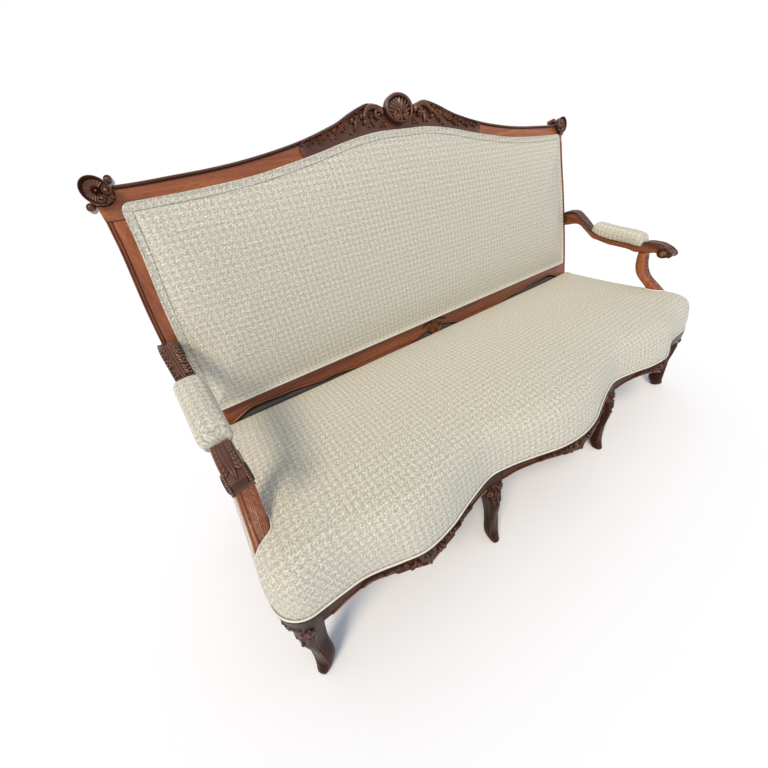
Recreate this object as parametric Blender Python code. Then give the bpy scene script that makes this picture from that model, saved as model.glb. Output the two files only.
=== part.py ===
# Three-seat carved show-wood settee: a raked upholstered back in a serpentine
# frame, padded open arms, and a sprung serpentine seat on four cabriole front
# legs and two swept rear legs.
# Metres, +Z up, the sitter faces -Y. The origin is on the floor, under the middle.

import math

import bmesh
import bpy
from mathutils import Vector

# Clearances
fit_gap = 0.0003              # between pieces that touch
cut_overrun = 0.02            # how far a cutter passes its work

# Seat heights, each counted from the one below it
leg_height = 0.268            # floor to the underside of the rail at a leg
show_rail_height = 0.040      # polished rail under the seat cloth
hidden_rail_height = 0.045    # rail behind the seat cloth
seat_stuffing_height = 0.097  # rail top to the crown of the seat

# Seat plan: the back line is y = 0
seat_overhang = 0.017         # seat beyond the rear posts, at each side
seat_taper = 0.030            # how much narrower its front is, at each side
seat_valley_reach = 0.5535    # back line to the hollows over the inner legs
seat_bow_depth = 0.066        # centre bow in front of the hollows
seat_corner_across = 0.076
seat_corner_along = 0.082
seat_rear_radius = 0.018
seat_skirt = 0.016            # cloth and stuffing over the face of the rails
seat_edge_roll = 0.065        # how far in the rounded edge reaches
show_reach = 0.005            # polished rail in front of the edge of the seat cloth
rail_thickness = 0.045
rail_bead = 0.003
rail_bead_height = 0.008
rear_rail_thickness = 0.032
rear_rail_height = 0.075
gimp_radius = 0.0035

# Raked back: along the slope is v, behind the frame's face is w
back_rake_degrees = 11.1
back_foot_height = 0.492      # foot of the upholstered panel
back_face_y = 0.028           # frame face at that foot, behind the back line
frame_thickness = 0.034
panel_half_width_top = 0.824
panel_side_spread = 0.048     # how much wider the panel is at its foot
panel_height = 0.549          # foot to the upper corners
panel_rise = 0.077            # upper corners to the middle
panel_corner_radius = 0.020
panel_border = 0.020
panel_border_thickness = 0.018
panel_crown = 0.026           # crown in front of the border
panel_crown_reach = 0.120     # border to the full crown
gimp_thickness = 0.0035
frame_lip = 0.020             # frame hidden under the panel's edge
stile_face_width = 0.041      # polished face beside the panel
joint_drop = 0.027            # panel's corners to the stile to crest joint

# Crest rail
crest_end_rise = 0.040        # panel's corners to the crest's plain ends
crest_rise = 0.112            # ends to the scrolls beside the shell
crest_bead = 0.005
crest_bead_height = 0.016
shell_drop = 0.020            # scrolls' level to the middle of the shell
shell_half_width = 0.053
shell_half_height = 0.037
shell_depth = 0.018
shell_flute_depth = 0.003
ear_drop = 0.009              # plain ends of the crest to the ear's middle
ear_inset = 0.0161            # crest's end to the ear's middle
ear_radius = 0.0288
ear_front = 0.016             # rim in front of the frame's face
ear_back = 0.036
ear_dish = 0.007
ear_petal_depth = 0.0025
ear_waist = 0.003
ear_seat_gap = 0.0008
ear_knob_radius = 0.0078

# Lower back rail
lower_rail_drop = 0.061       # its deepest plain edge under the panel's foot
lower_rail_bead = 0.004
lower_rail_bead_height = 0.010

# Rear posts under the back
post_front_y = 0.018
post_depth = 0.040
post_width = 0.044
rear_foot_sweep = 0.112       # how far the rear feet stand back
rear_foot_size = 0.031
post_bead = 0.003

# Arms: forward from the frame, up from the underside of the front scroll
arm_panel_gap = 0.003         # beside the upholstered panel
arm_root_y = 0.060
arm_end_inset = 0.101         # seat's side to the middle of the front scroll
arm_reach = 0.500
arm_low = 0.5775
arm_rise = 0.150
arm_thickness = 0.040
arm_edge = 0.005
arm_end_gap = 0.0030
arm_post_half_width = 0.0215
arm_post_sweep = 0.138
arm_post_depth = 0.047
arm_post_lean = 0.017
pad_half_width = 0.033
pad_thickness = 0.046

# Legs
inner_leg_half_width = 0.030
outer_leg_width = 0.098       # seat's side to the inner face of the block
outer_leg_rear_gap = 0.007    # rear face behind the start of the seat's corner
outer_leg_hidden_inset = 0.014  # block behind the cloth, inside the skirt
outer_leg_centre_in = 0.058
outer_leg_centre_back = 0.047   # behind the seat's front line
outer_toe_reach = 0.072
inner_toe_reach = 0.063
outer_knee = 0.042
inner_knee = 0.034
outer_leg_heading = -37.0     # degrees from +X

# Inside the seat and the back
front_block_size = 0.050      # how far the front corner blocks run back
rear_block_size = 0.060
block_height = 0.055
block_drop = 0.010
strap_end_gap = 0.0008
sheet_thickness = 0.002
bottom_cloth_rise = 0.016
webbing_rise = 0.020
webbing_width = 0.055
bearer_width = 0.030
bearer_height = 0.055
spring_radius = 0.038
spring_waist = 0.026
spring_wire = 0.0018
spring_turns = 3.5
spring_points_per_turn = 7

# Outline tables: place against value, each a share of the size it follows
seat_bow_shares = (
    (0.0, 1.0), (0.1, 0.86), (0.197, 0.5), (0.296, 0.15), (0.379, 0.0), (0.493, 0.26),
    (0.591, 0.57), (0.69, 0.67), (0.765, 0.45), (0.81, 0.28), (0.866, 0.12), (0.93, 0.09),
    (1.0, 0.09))
panel_rise_shares = (
    (0.0, 1.0), (0.12, 0.99), (0.24, 0.84), (0.37, 0.58), (0.49, 0.37),
    (0.61, 0.19), (0.73, 0.09), (0.85, 0.03), (1.0, 0.0))
panel_side_shares = (
    (0.0, 1.0), (0.2, 0.92), (0.39, 0.76), (0.57, 0.56), (0.72, 0.33),
    (0.82, 0.17), (0.9, 0.08), (1.0, 0.0))
crest_rise_shares = (
    (0.0, 0.88), (0.07, 0.91), (0.122, 1.0), (0.16, 0.94), (0.21, 0.81),
    (0.255, 0.67), (0.29, 0.59), (0.37, 0.43), (0.46, 0.29), (0.58, 0.155),
    (0.69, 0.075), (0.81, 0.028), (0.9, 0.0), (1.0, 0.0))
crest_station_shares = (
    0.0, 0.035, 0.095, 0.122, 0.16, 0.21, 0.255, 0.30, 0.37, 0.44,
    0.51, 0.58, 0.65, 0.72, 0.79, 0.86)
lower_rail_drop_shares = (
    (0.0, 1.12), (0.02, 1.08), (0.045, 0.76), (0.1, 0.86), (0.15, 1.05),
    (0.3, 1.07), (0.46, 1.04), (0.55, 0.9), (0.64, 0.88), (0.72, 0.73),
    (0.8, 0.68), (0.87, 0.62), (0.91, 0.62), (0.95, 0.8), (0.985, 1.0), (1.0, 1.0))
rail_show_shares = (
    (0.0, 1.0), (0.1, 0.72), (0.25, 0.62), (0.38, 0.9), (0.5, 1.42),
    (0.62, 0.9), (0.75, 0.62), (0.9, 0.72), (1.0, 1.0))
seat_edge_shares = (          # in from the edge, up to the crown
    (0.0, 0.0), (0.03, 0.19), (0.08, 0.47), (0.18, 0.68), (0.4, 0.845), (0.67, 0.92), (1.0, 0.955))
seat_top_shares = ((0.4, 0.985), (0.75, 1.0))
inner_leg_share = 0.364       # out along the seat's front, at the hollows
spring_out_shares = (0.0, 0.237, 0.522, 0.801)
spring_row_shares = (0.271, 0.668)
back_web_out_shares = (0.0, 0.34, 0.68)
back_web_height_shares = (0.255, 0.51, 0.765)
rear_edge_share = 0.45        # the rear edge is firmer than the others
seat_core_out_share = 0.66
seat_core_forward_share = 0.48
panel_core_out_share = 0.78
panel_core_height_share = 0.5
panel_crown_shares = ((0.06, -0.08), (0.2, 0.3), (0.5, 0.68), (1.0, 0.92))
arm_top_shares = (            # forward, up: from the frame to the pad
    (0.03, 1.003), (0.07, 1.013), (0.11, 1.01), (0.14, 0.98), (0.17, 0.917), (0.235, 0.75),
    (0.285, 0.61), (0.318, 0.563))
arm_pad_seat_shares = (
    (0.335, 0.484), (0.394, 0.417), (0.5, 0.334), (0.584, 0.297), (0.662, 0.263), (0.762, 0.21))
arm_front_shares = (          # the hand-hold and its scroll
    (0.776, 0.33), (0.828, 0.334), (0.886, 0.313), (0.932, 0.256), (0.966, 0.189),
    (0.988, 0.12), (0.99, 0.062), (0.972, 0.019), (0.94, 0), (0.91, 0.016), (0.893, 0.056),
    (0.884, 0.091), (0.862, 0.099))
arm_post_seat_shares = ((0.834, 0.068), (0.722, 0.068))
arm_under_shares = (
    (0.662, 0.123), (0.584, 0.157), (0.5, 0.19), (0.394, 0.277), (0.338, 0.33), (0.262, 0.51),
    (0.21, 0.63), (0.174, 0.677), (0.13, 0.677), (0.08, 0.644), (0.035, 0.629))
arm_end_share_low = 0.629
arm_end_share_high = 0.94
pad_section_shares = (        # across, up: half of the pad's section
    (0.9, 0.0), (1.0, 0.22), (0.97, 0.52), (0.82, 0.8), (0.55, 0.95), (0.2, 1.0))
pad_end_shares = (            # along the pad: place, width, height
    (0.0, 0.76, 0.5), (0.035, 0.92, 0.8), (0.12, 1.0, 0.96), (0.35, 1.0, 1.0),
    (0.65, 0.97, 1.0), (0.88, 0.92, 0.92), (0.965, 0.84, 0.72), (1.0, 0.7, 0.42))
arm_post_shares = (           # down the post: drop, sweep of its middle, depth, lean
    (0.0, 0.0, 0.66, 0.0), (0.1, 0.01, 0.7, 0.05), (0.25, 0.06, 0.78, 0.2),
    (0.4, 0.19, 0.86, 0.4), (0.55, 0.45, 0.98, 0.65), (0.68, 0.68, 1.1, 0.85),
    (0.84, 0.9, 1.05, 0.95), (1.0, 1.0, 1.0, 1.0))
cabriole_shares = (           # height, reach, along and across the heading
    (0.93, 0.03, 0.96, 1.04), (0.81, 0.2, 0.86, 0.80), (0.67, 0.33, 0.78, 0.58),
    (0.52, 0.39, 0.63, 0.49), (0.37, 0.44, 0.50, 0.56), (0.23, 0.48, 0.48, 0.62),
    (0.125, 0.54, 0.51, 0.57), (0.055, 0.66, 0.50, 0.46), (0.016, 0.75, 0.46, 0.36),
    (0.0, 0.7, 0.42, 0.31))
rear_leg_shares = (           # height, sweep, and how much of the foot's size it has
    (0.78, 0.10, 0.25), (0.5, 0.42, 0.6), (0.22, 0.78, 0.9), (0.0, 1.0, 1.0))
seat_stations = 21            # straight runs in half of the seat's front
shell_flutes = 9
shell_reach_shares = (1.0, 0.9, 0.7, 0.45, 0.2)
shell_dome_shares = (0.4, 0.72, 0.98, 0.9, 0.62)
shell_hinge_share = 0.35
ear_petals = 16

# Derived levels
fabric_low = leg_height + show_rail_height
rail_top = fabric_low + hidden_rail_height
seat_crown = rail_top + seat_stuffing_height
seat_rear_y = post_front_y - fit_gap
post_outer = panel_half_width_top + panel_side_spread + stile_face_width
seat_half_width = post_outer + seat_overhang
seat_front_half_width = seat_half_width - seat_taper
seat_straight = seat_front_half_width - seat_corner_across
rake = math.radians(back_rake_degrees)
well_low = leg_height + bottom_cloth_rise
joint_height = panel_height - joint_drop
crest_end_height = panel_height + crest_end_rise
shell_centre_height = crest_end_height + crest_rise - shell_drop
ear_centre_height = crest_end_height - ear_drop
arm_front_out = seat_half_width - arm_end_inset
inner_leg_out = seat_straight * inner_leg_share
outer_leg_inner_face = seat_front_half_width - outer_leg_width
outer_leg_centre_out = seat_front_half_width - outer_leg_centre_in

# Finishes: name, colour, roughness, metallic
finishes = {
    "show_wood": ((0.19, 0.055, 0.027), 0.32, 0.0),
    "carved_wood": ((0.11, 0.032, 0.017), 0.36, 0.0),
    "frame_timber": ((0.52, 0.37, 0.22), 0.65, 0.0),
    "seat_cloth": ((0.72, 0.70, 0.60), 0.9, 0.0),
    "edge_gimp": ((0.80, 0.79, 0.72), 0.88, 0.0),
    "hessian": ((0.42, 0.31, 0.18), 0.95, 0.0),
    "web": ((0.30, 0.22, 0.13), 0.9, 0.0),
    "spring_steel": ((0.32, 0.30, 0.28), 0.4, 1.0),
    "lining": ((0.03, 0.03, 0.03), 0.95, 0.0),
}


# Scene set-up

for old in list(bpy.data.objects):
    bpy.data.objects.remove(old, do_unlink=True)

settee = bpy.data.collections.new("settee")
bpy.context.scene.collection.children.link(settee)
cutters = bpy.data.collections.new("cutters")
bpy.context.scene.collection.children.link(cutters)

root = bpy.data.objects.new("settee_root", None)
settee.objects.link(root)
raked_back = bpy.data.objects.new("raked_back", None)
settee.objects.link(raked_back)
raked_back.parent = root
raked_back.location = (0, back_face_y, back_foot_height)
raked_back.rotation_euler = (-rake, 0, 0)


# Small tools

def table_value(table, at):
    # Smooth curve through a table's points, flat beyond its ends.
    keys = [row[0] for row in table]
    values = [row[1] for row in table]
    last = len(table) - 1
    at = min(max(at, keys[0]), keys[last])
    left = max(i for i in range(last) if keys[i] <= at)
    right = left + 1

    def slope(i):
        if i in (0, last):
            return 0
        return (values[i + 1] - values[i - 1]) / (keys[i + 1] - keys[i - 1])

    span = keys[right] - keys[left]
    t = (at - keys[left]) / span
    rise = values[right] - values[left]
    start = slope(left) * span
    end = slope(right) * span
    bend = (3 * rise - 2 * start - end) * t ** 2 + (start + end - 2 * rise) * t ** 3
    return values[left] + start * t + bend


def steps(first, last, count):
    # Evenly spaced values, both ends included.
    return [first + (last - first) * i / count for i in range(count + 1)]


def finish_object(ob, finish, parent=root):
    # Gives an object its own material, its parent and smooth shading.
    colour, roughness, metallic = finishes[finish]
    material = bpy.data.materials.new(ob.name + "_" + finish)
    material.use_nodes = True
    shader = material.node_tree.nodes["Principled BSDF"]
    shader.inputs["Base Color"].default_value = (*colour, 1)
    shader.inputs["Roughness"].default_value = roughness
    shader.inputs["Metallic"].default_value = metallic
    if not ob.data.materials:
        ob.data.materials.append(material)
    ob.parent = parent
    settee.objects.link(ob)
    if ob.type == "MESH":
        ob.data.shade_smooth()
        ob.data.set_sharp_from_angle(angle=math.radians(34))
    return ob


def loft_mesh(name, rings, wrap=False):
    # Skin over closed rings of equal count: capped at both ends, or wrapped round.
    bm = bmesh.new()
    loops = [[bm.verts.new(point) for point in ring] for ring in rings]
    pairs = list(zip(loops, loops[1:]))
    if wrap:
        pairs.append((loops[-1], loops[0]))
    for low, high in pairs:
        count = len(low)
        for i in range(count):
            j = (i + 1) % count
            bm.faces.new((low[i], low[j], high[j], high[i]))
    if not wrap:
        bm.faces.new(list(reversed(loops[0])))
        bm.faces.new(loops[-1])
    bmesh.ops.recalc_face_normals(bm, faces=bm.faces)
    mesh = bpy.data.meshes.new(name)
    bm.to_mesh(mesh)
    bm.free()
    return mesh


def loft(name, rings, finish, parent=root, wrap=False):
    ob = bpy.data.objects.new(name, loft_mesh(name, rings, wrap))
    return finish_object(ob, finish, parent)


def slab(name, outline, low, high, finish, parent=root, upright=False):
    # A flat sheet or block: an outline in plan, or up the raked back.
    def place(point, level):
        if upright:
            return (point[0], level, point[1])
        return (point[0], point[1], level)

    rings = [[place(p, low) for p in outline], [place(p, high) for p in outline]]
    return loft(name, rings, finish, parent)


def box_mesh(name, low, high):
    bm = bmesh.new()
    bmesh.ops.create_cube(bm, size=1)
    size = [b - a for a, b in zip(low, high)]
    middle = [(a + b) / 2 for a, b in zip(low, high)]
    bmesh.ops.scale(bm, vec=size, verts=bm.verts)
    bmesh.ops.translate(bm, vec=middle, verts=bm.verts)
    mesh = bpy.data.meshes.new(name)
    bm.to_mesh(mesh)
    bm.free()
    return mesh


def boolean(ob, other_mesh, operation, parent=root):
    # Cuts with, or joins, a mesh that stays in the cutters' collection.
    tool = bpy.data.objects.new(ob.name + "_tool", other_mesh)
    cutters.objects.link(tool)
    tool.parent = parent
    tool.hide_render = True
    tool.display_type = "WIRE"
    modifier = ob.modifiers.new(operation.lower(), "BOOLEAN")
    modifier.operation = operation
    modifier.solver = "EXACT"
    modifier.object = tool


def boxes(name, corners, finish, parent=root):
    # One box, or crossing boxes joined into one body.
    first, *others = [box_mesh(name, low, high) for low, high in corners]
    ob = finish_object(bpy.data.objects.new(name, first), finish, parent)
    for mesh in others:
        boolean(ob, mesh, "UNION", parent)
    return ob


def mirrored(points, side):
    return [(side * p[0],) + tuple(p[1:]) for p in points]


def whole(half):
    # Closes a half outline, given from the middle of one edge to the other.
    inner = [p for p in half[1:-1]]
    return half + [(-p[0], p[1]) for p in reversed(inner)]


def blend_in(point, core, distance=0, share=0):
    # Moves a point of an outline toward its core point, by a distance or a share.
    away = Vector((core[0] - point[0], core[1] - point[1]))
    if distance:
        share = min(distance / away.length, 1)
    moved = Vector(point) + away * share
    return (moved.x, moved.y)


# Outlines of the back, as x and height up the slope

def panel_top(x):
    return panel_height + panel_rise * table_value(panel_rise_shares, abs(x) / panel_half_width_top)


def panel_side(v):
    return panel_half_width_top + panel_side_spread * table_value(panel_side_shares, v / panel_height)


def panel_outline():
    # The upholstered panel's edge, from the middle of its foot round to the middle of its top.
    r = panel_corner_radius
    foot = panel_side(0) - r
    half = [(x, 0) for x in steps(0, foot, 5)]
    for angle in steps(0, math.pi / 2, 3)[1:]:
        half.append((foot + r * math.sin(angle), r - r * math.cos(angle)))
    half += [(panel_side(v), v) for v in steps(r, panel_height - r, 8)[1:]]
    top = panel_side(panel_height) - r
    for angle in steps(0, math.pi / 2, 3)[1:]:
        half.append((top + r * math.cos(angle), panel_top(top) - r + r * math.sin(angle)))
    half += [(x, panel_top(x)) for x in steps(top, 0, 20)[1:]]
    return whole(half)


def panel_core(point):
    limit = panel_half_width_top * panel_core_out_share
    return (max(-limit, min(limit, point[0])), panel_height * panel_core_height_share)


def crest_low(x):
    return panel_top(x) - frame_lip


def stile_inner(v):
    return panel_side(v) - frame_lip


def stile_heights():
    return steps(frame_lip, joint_height, 7)


def opening_outline(gap):
    # The clear opening of the back frame, drawn in by a gap.
    corner_x = stile_inner(joint_height) - gap
    half = [(0, frame_lip + gap), (stile_inner(frame_lip) - gap, frame_lip + gap)]
    half += [(stile_inner(v) - gap, v) for v in stile_heights()[1:]]
    half += [(x, crest_low(x) - gap) for x in steps(corner_x, 0, 14)]
    return whole(half)


def crest_end():
    return panel_side(joint_height) + stile_face_width


def ear_out():
    return crest_end() - ear_inset


def back_point(x, w, v):
    # A point of the raked back in the settee's own frame.
    y = back_face_y + v * math.sin(rake) + w * math.cos(rake)
    z = back_foot_height + v * math.cos(rake) - w * math.sin(rake)
    return (x, y, z)


# Outlines of the seat, in plan

def seat_line(x):
    # The front edge of the seat cloth: three bows with hollows between, in short straight runs.
    place = min(abs(x) / seat_straight, 1) * seat_stations
    left = min(int(place), seat_stations - 1)
    ends = [table_value(seat_bow_shares, i / seat_stations) for i in (left, left + 1)]
    share = ends[0] + (ends[1] - ends[0]) * (place - left)
    return -seat_valley_reach - seat_bow_depth * share


def corner_start():
    # Where the seat's rounded corner meets its side.
    return seat_line(seat_straight) + seat_corner_along


def outer_leg_rear():
    return corner_start() + outer_leg_rear_gap


def stations_between(start, end):
    # Both ends and the seat line's corners between them.
    corners = steps(-seat_straight, seat_straight, seat_stations * 2)
    return [start] + [x for x in corners if start + fit_gap < x < end - fit_gap] + [end]


def seat_side(y):
    front = corner_start()
    rear = seat_rear_y - seat_rear_radius
    share = max((y - front) / (rear - front), 0)
    return seat_front_half_width + (seat_half_width - seat_front_half_width) * share


def seat_open_edge():
    # Half of the seat's visible edge, from the middle of the front to the rear corner.
    half = [(x, seat_line(x)) for x in steps(0, seat_straight, seat_stations)]
    corner_y = corner_start()
    for angle in steps(0, math.pi / 2, 5)[1:]:
        across = seat_corner_across * math.sin(angle)
        half.append((seat_straight + across, corner_y - seat_corner_along * math.cos(angle)))
    rear = seat_rear_y - seat_rear_radius
    half += [(seat_side(y), y) for y in steps(corner_y, rear, 5)[1:]]
    return half


def seat_outline():
    half = seat_open_edge()
    r = seat_rear_radius
    rear = seat_rear_y - r
    for angle in steps(0, math.pi / 2, 2)[1:]:
        half.append((seat_half_width - r + r * math.cos(angle), rear + r * math.sin(angle)))
    half += [(x, seat_rear_y) for x in steps(seat_half_width - r, 0, 5)[1:]]
    return whole(half)


def seat_core(point):
    limit = seat_half_width * seat_core_out_share
    return (max(-limit, min(limit, point[0])), -seat_valley_reach * seat_core_forward_share)


def inset(point, distance):
    # A point of the seat's outline moved in, parallel to the rails.
    x, y = point
    side = 1 if x > 0 else -1
    corner_y = corner_start()
    if y < corner_y and abs(x) <= seat_straight:
        return (x, y + distance)
    if y < corner_y:
        across = (abs(x) - seat_straight) * (1 - distance / seat_corner_across)
        along = (corner_y - y) * (1 - distance / seat_corner_along)
        return (side * (seat_straight + across), corner_y - along)
    return (side * min(abs(x), seat_side(y) - distance), min(y, seat_rear_y - distance))


def seat_ring(outline, level, distance=0, share=0, rear_share=1):
    ring = []
    for point in outline:
        at_rear = point[1] > seat_rear_y - seat_rear_radius / 2
        reach = distance * rear_share if at_rear else distance
        ring.append((*blend_in(point, seat_core(point), reach, share), level))
    return ring


def rail_inner(x):
    return seat_line(x) + rail_thickness


def inner_leg_rear():
    low = inner_leg_out - inner_leg_half_width
    return min(rail_inner(low), rail_inner(low + 2 * inner_leg_half_width))


def centre_rail_places():
    end = inner_leg_out - inner_leg_half_width - fit_gap
    return stations_between(-end, end)


def right_rail_places():
    start = inner_leg_out + inner_leg_half_width + fit_gap
    return stations_between(start, outer_leg_inner_face - fit_gap)


def side_rail_outer(y):
    return seat_side(y) - seat_skirt - fit_gap


def side_rail_inner(y):
    return seat_side(y) - rail_thickness - seat_skirt


def well_outline(gap):
    # The clear space between the seat rails and their corner blocks.
    rear = post_front_y - gap
    edge_y = outer_leg_rear() + front_block_size
    side_front = side_rail_inner(edge_y) - gap
    side_rear_y = post_front_y - rear_block_size - gap
    places = [x for x in centre_rail_places() if x > -fit_gap] + right_rail_places()[:-2]
    half = [(x, rail_inner(x) + gap) for x in places]
    half[-1] = (half[-1][0] - gap, half[-1][1])
    half.append((side_front, edge_y + gap))
    half.append((side_rail_inner(side_rear_y) - gap, side_rear_y))
    half.append((side_rail_inner(rear) - rear_block_size - gap, rear))
    half.append((0, rear))
    return whole(half)


# Pieces of the back

def make_crest_rail():
    ear_reach = ear_radius + ear_seat_gap
    end = crest_end()
    ear_centre_out = ear_out()
    inner = stile_inner(joint_height)
    last_plain = ear_centre_out - ear_reach - fit_gap
    outs = [share * end for share in crest_station_shares if share * end < inner]
    outs = sorted(outs + [shell_half_width + crest_bead])
    outs += [inner - fit_gap, inner, last_plain]
    last_angle = math.acos((ear_centre_out - end) / ear_reach)
    outs += [ear_centre_out - ear_reach * math.cos(angle) for angle in steps(0, last_angle, 9)]

    def top(x):
        if x > last_plain:
            across = min(abs(x - ear_centre_out), ear_reach)
            return ear_centre_height - math.sqrt(ear_reach ** 2 - across ** 2)
        return crest_end_height + crest_rise * table_value(crest_rise_shares, x / end)

    def section(x):
        out = abs(x)
        low = crest_low(out) if out < inner else joint_height
        high = top(out)
        plain = out <= shell_half_width + crest_bead or out > last_plain
        bead = 0 if plain else crest_bead
        deep = min(crest_bead_height, (high - low) / 2)
        profile = (
            (0, low), (0, high - deep), (bead / 2, high - deep * 0.85),
            (-bead * 0.6, high - deep * 0.65), (-bead, high - deep * 0.35),
            (-bead * 0.6, high - deep * 0.08), (bead / 2, high),
            (frame_thickness, high), (frame_thickness, low))
        return [(x, w, v) for w, v in profile]

    places = [-x for x in reversed(outs[1:])] + outs
    loft("crest_rail", [section(x) for x in places], "show_wood", raked_back)


def make_crest_shell():
    # A scallop whose flutes spread from a hinge in its lower part.
    count = shell_flutes * 4
    hinge = shell_centre_height - shell_half_height * shell_hinge_share

    def ring(reach, depth, flute):
        points = []
        for i in range(count):
            angle = 2 * math.pi * i / count
            x = shell_half_width * math.cos(angle)
            v = shell_centre_height + shell_half_height * math.sin(angle)
            wave = flute * math.cos(shell_flutes * angle)
            points.append((x * reach, -depth - wave, hinge + (v - hinge) * reach))
        return points

    rings = [ring(1, fit_gap, 0)]
    for reach, dome in zip(shell_reach_shares, shell_dome_shares):
        rings.append(ring(reach, shell_depth * dome, shell_flute_depth * reach))
    loft("crest_shell", rings, "carved_wood", raked_back)


def make_ear(side, name):
    # A rosette of petals in a rim, on the end of a roll that runs back through the frame.
    count = ear_petals * 2
    boss = ear_radius / 5
    rim = ear_radius * 0.86
    profile = (               # radius, depth, share of the petals' depth
        (ear_radius * 0.9, ear_back, 0), (ear_radius, ear_back - ear_waist, 0),
        (ear_radius - ear_waist, ear_back / 2, 0), (ear_radius, 0, 0),
        (ear_radius, -ear_front + ear_waist, 0), (rim, -ear_front, 0),
        (rim - ear_waist, -ear_dish, 0.3), (ear_radius * 0.55, -ear_dish, 1),
        (boss + ear_waist, -ear_dish, 0.6), (boss, -ear_front + ear_waist, 0))
    rings = []
    for radius, depth, petal in profile:
        ring = []
        for i in range(count):
            angle = 2 * math.pi * i / count
            lift = ear_petal_depth * petal * (1 if i % 2 else -1)
            x = side * ear_out() + radius * math.cos(angle)
            ring.append((x, depth + lift, ear_centre_height + radius * math.sin(angle)))
        rings.append(ring)
    ear = loft(name, rings, "carved_wood", raked_back)
    knob_reach = ear_radius + ear_knob_radius * 1.1
    for degrees in (143, -41):
        angle = math.radians(degrees)
        x = side * (ear_out() + knob_reach * math.cos(angle))
        v = ear_centre_height + knob_reach * math.sin(angle)
        knob = []
        for w in (ear_waist, ear_back - ear_waist):
            ring = []
            for i in range(12):
                turn = 2 * math.pi * i / 12
                out = ear_knob_radius * 1.25 * math.cos(turn)
                along = ear_knob_radius * math.sin(turn)
                across = side * (out * math.cos(angle) - along * math.sin(angle))
                ring.append((x + across, w, v + out * math.sin(angle) + along * math.cos(angle)))
            knob.append(ring)
        boolean(ear, loft_mesh(name + "_knob", knob), "UNION", raked_back)


def make_lower_rail():
    # Between the stiles under the panel, its lower edge cut in scallops with a small pendant.
    end = stile_inner(frame_lip) - fit_gap

    def section(x):
        low = -lower_rail_drop * table_value(lower_rail_drop_shares, abs(x) / end)
        bead = lower_rail_bead
        deep = lower_rail_bead_height
        profile = (
            (0, frame_lip), (0, low + deep), (-bead, low + deep * 0.7), (-bead, low + deep * 0.2),
            (bead / 2, low), (frame_thickness, low), (frame_thickness, frame_lip))
        return [(x, w, v) for w, v in profile]

    half = sorted({row[0] * end for row in lower_rail_drop_shares})
    places = [-x for x in reversed(half[1:])] + half
    loft("lower_back_rail", [section(x) for x in places], "show_wood", raked_back)


def make_rear_post(side, name):
    # Stile and rear leg in one length of timber: raked above the seat, swept back below it.
    foot_of_rail = -lower_rail_drop - lower_rail_bead_height

    def section(inner, outer, bead, depth):
        groove = stile_face_width / 4
        return (
            (inner, 0), (outer - groove, 0), (outer - groove * 0.8, bead),
            (outer - groove * 0.55, -bead), (outer - groove * 0.15, -bead), (outer, bead),
            (outer, depth - post_bead), (outer - post_bead, depth), (inner, depth))

    rings = []
    for v in (joint_height - fit_gap, *reversed(stile_heights()[:-1]), 0, foot_of_rail):
        edge = panel_side(max(v, 0))
        shape = section(edge - frame_lip, edge + stile_face_width, post_bead, frame_thickness)
        rings.append([back_point(x, w, v) for x, w in shape])
    outer = post_outer
    for level in (rail_top + post_depth, rail_top, fabric_low, leg_height):
        shape = section(outer - post_width, outer, 0, post_depth)
        rings.append([(x, post_front_y + w, level) for x, w in shape])
    for height, sweep, slim in rear_leg_shares:
        width = post_width + (rear_foot_size - post_width) * slim
        depth = post_depth + (rear_foot_size - post_depth) * slim
        middle = outer - post_width / 2
        shape = section(middle - width / 2, middle + width / 2, 0, depth)
        front = post_front_y + rear_foot_sweep * sweep
        rings.append([(x, front + w, leg_height * height) for x, w in shape])
    loft(name, [mirrored(ring, side) for ring in rings], "show_wood")


def make_back_panel():
    # The stuffed panel: a flat border for the gimp, then a crowned face.
    outline = panel_outline()

    def ring(depth, distance=0):
        points = [blend_in(p, panel_core(p), distance) for p in outline]
        return [(x, -depth, v) for x, v in points]

    seat_of_gimp = panel_border_thickness - gimp_thickness
    rings = [ring(fit_gap), ring(seat_of_gimp), ring(seat_of_gimp, panel_border)]
    for reach, crown in panel_crown_shares:
        distance = panel_border + panel_crown_reach * reach
        rings.append(ring(panel_border_thickness + panel_crown * crown, distance))
    rings.append(ring(panel_border_thickness + panel_crown, panel_border + panel_crown_reach * 1.6))
    loft("back_upholstery", rings, "seat_cloth", raked_back)

    inner = panel_border - fit_gap
    low = seat_of_gimp + fit_gap
    high = low + gimp_thickness
    band = [ring(low), ring(high), ring(high, inner), ring(low, inner)]
    loft("back_gimp", band, "edge_gimp", raked_back, wrap=True)


def make_back_inside():
    outline = opening_outline(fit_gap)
    slab("back_hessian", outline, 0, sheet_thickness, "hessian", raked_back, upright=True)
    across_low = sheet_thickness + fit_gap
    along_low = across_low + sheet_thickness / 2
    half = webbing_width / 2
    straps = []
    for share in back_web_height_shares:
        v = panel_height * share
        end = stile_inner(v + half) - fit_gap
        straps.append(((-end, across_low, v - half), (end, across_low + sheet_thickness, v + half)))
    for share in back_web_out_shares:
        out = panel_half_width_top * share
        top = min(crest_low(out + half), crest_low(out), crest_low(abs(out - half))) - fit_gap
        for x in sorted({-out, out}):
            low = (x - half, along_low, frame_lip + fit_gap)
            straps.append((low, (x + half, along_low + sheet_thickness, top)))
    boxes("back_webbing", straps, "web", raked_back)

    cover = opening_outline(-frame_lip / 2)
    low = frame_thickness + fit_gap
    slab("outside_back_cover", cover, low, low + sheet_thickness, "seat_cloth", raked_back, upright=True)


# Pieces of the seat frame

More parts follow.
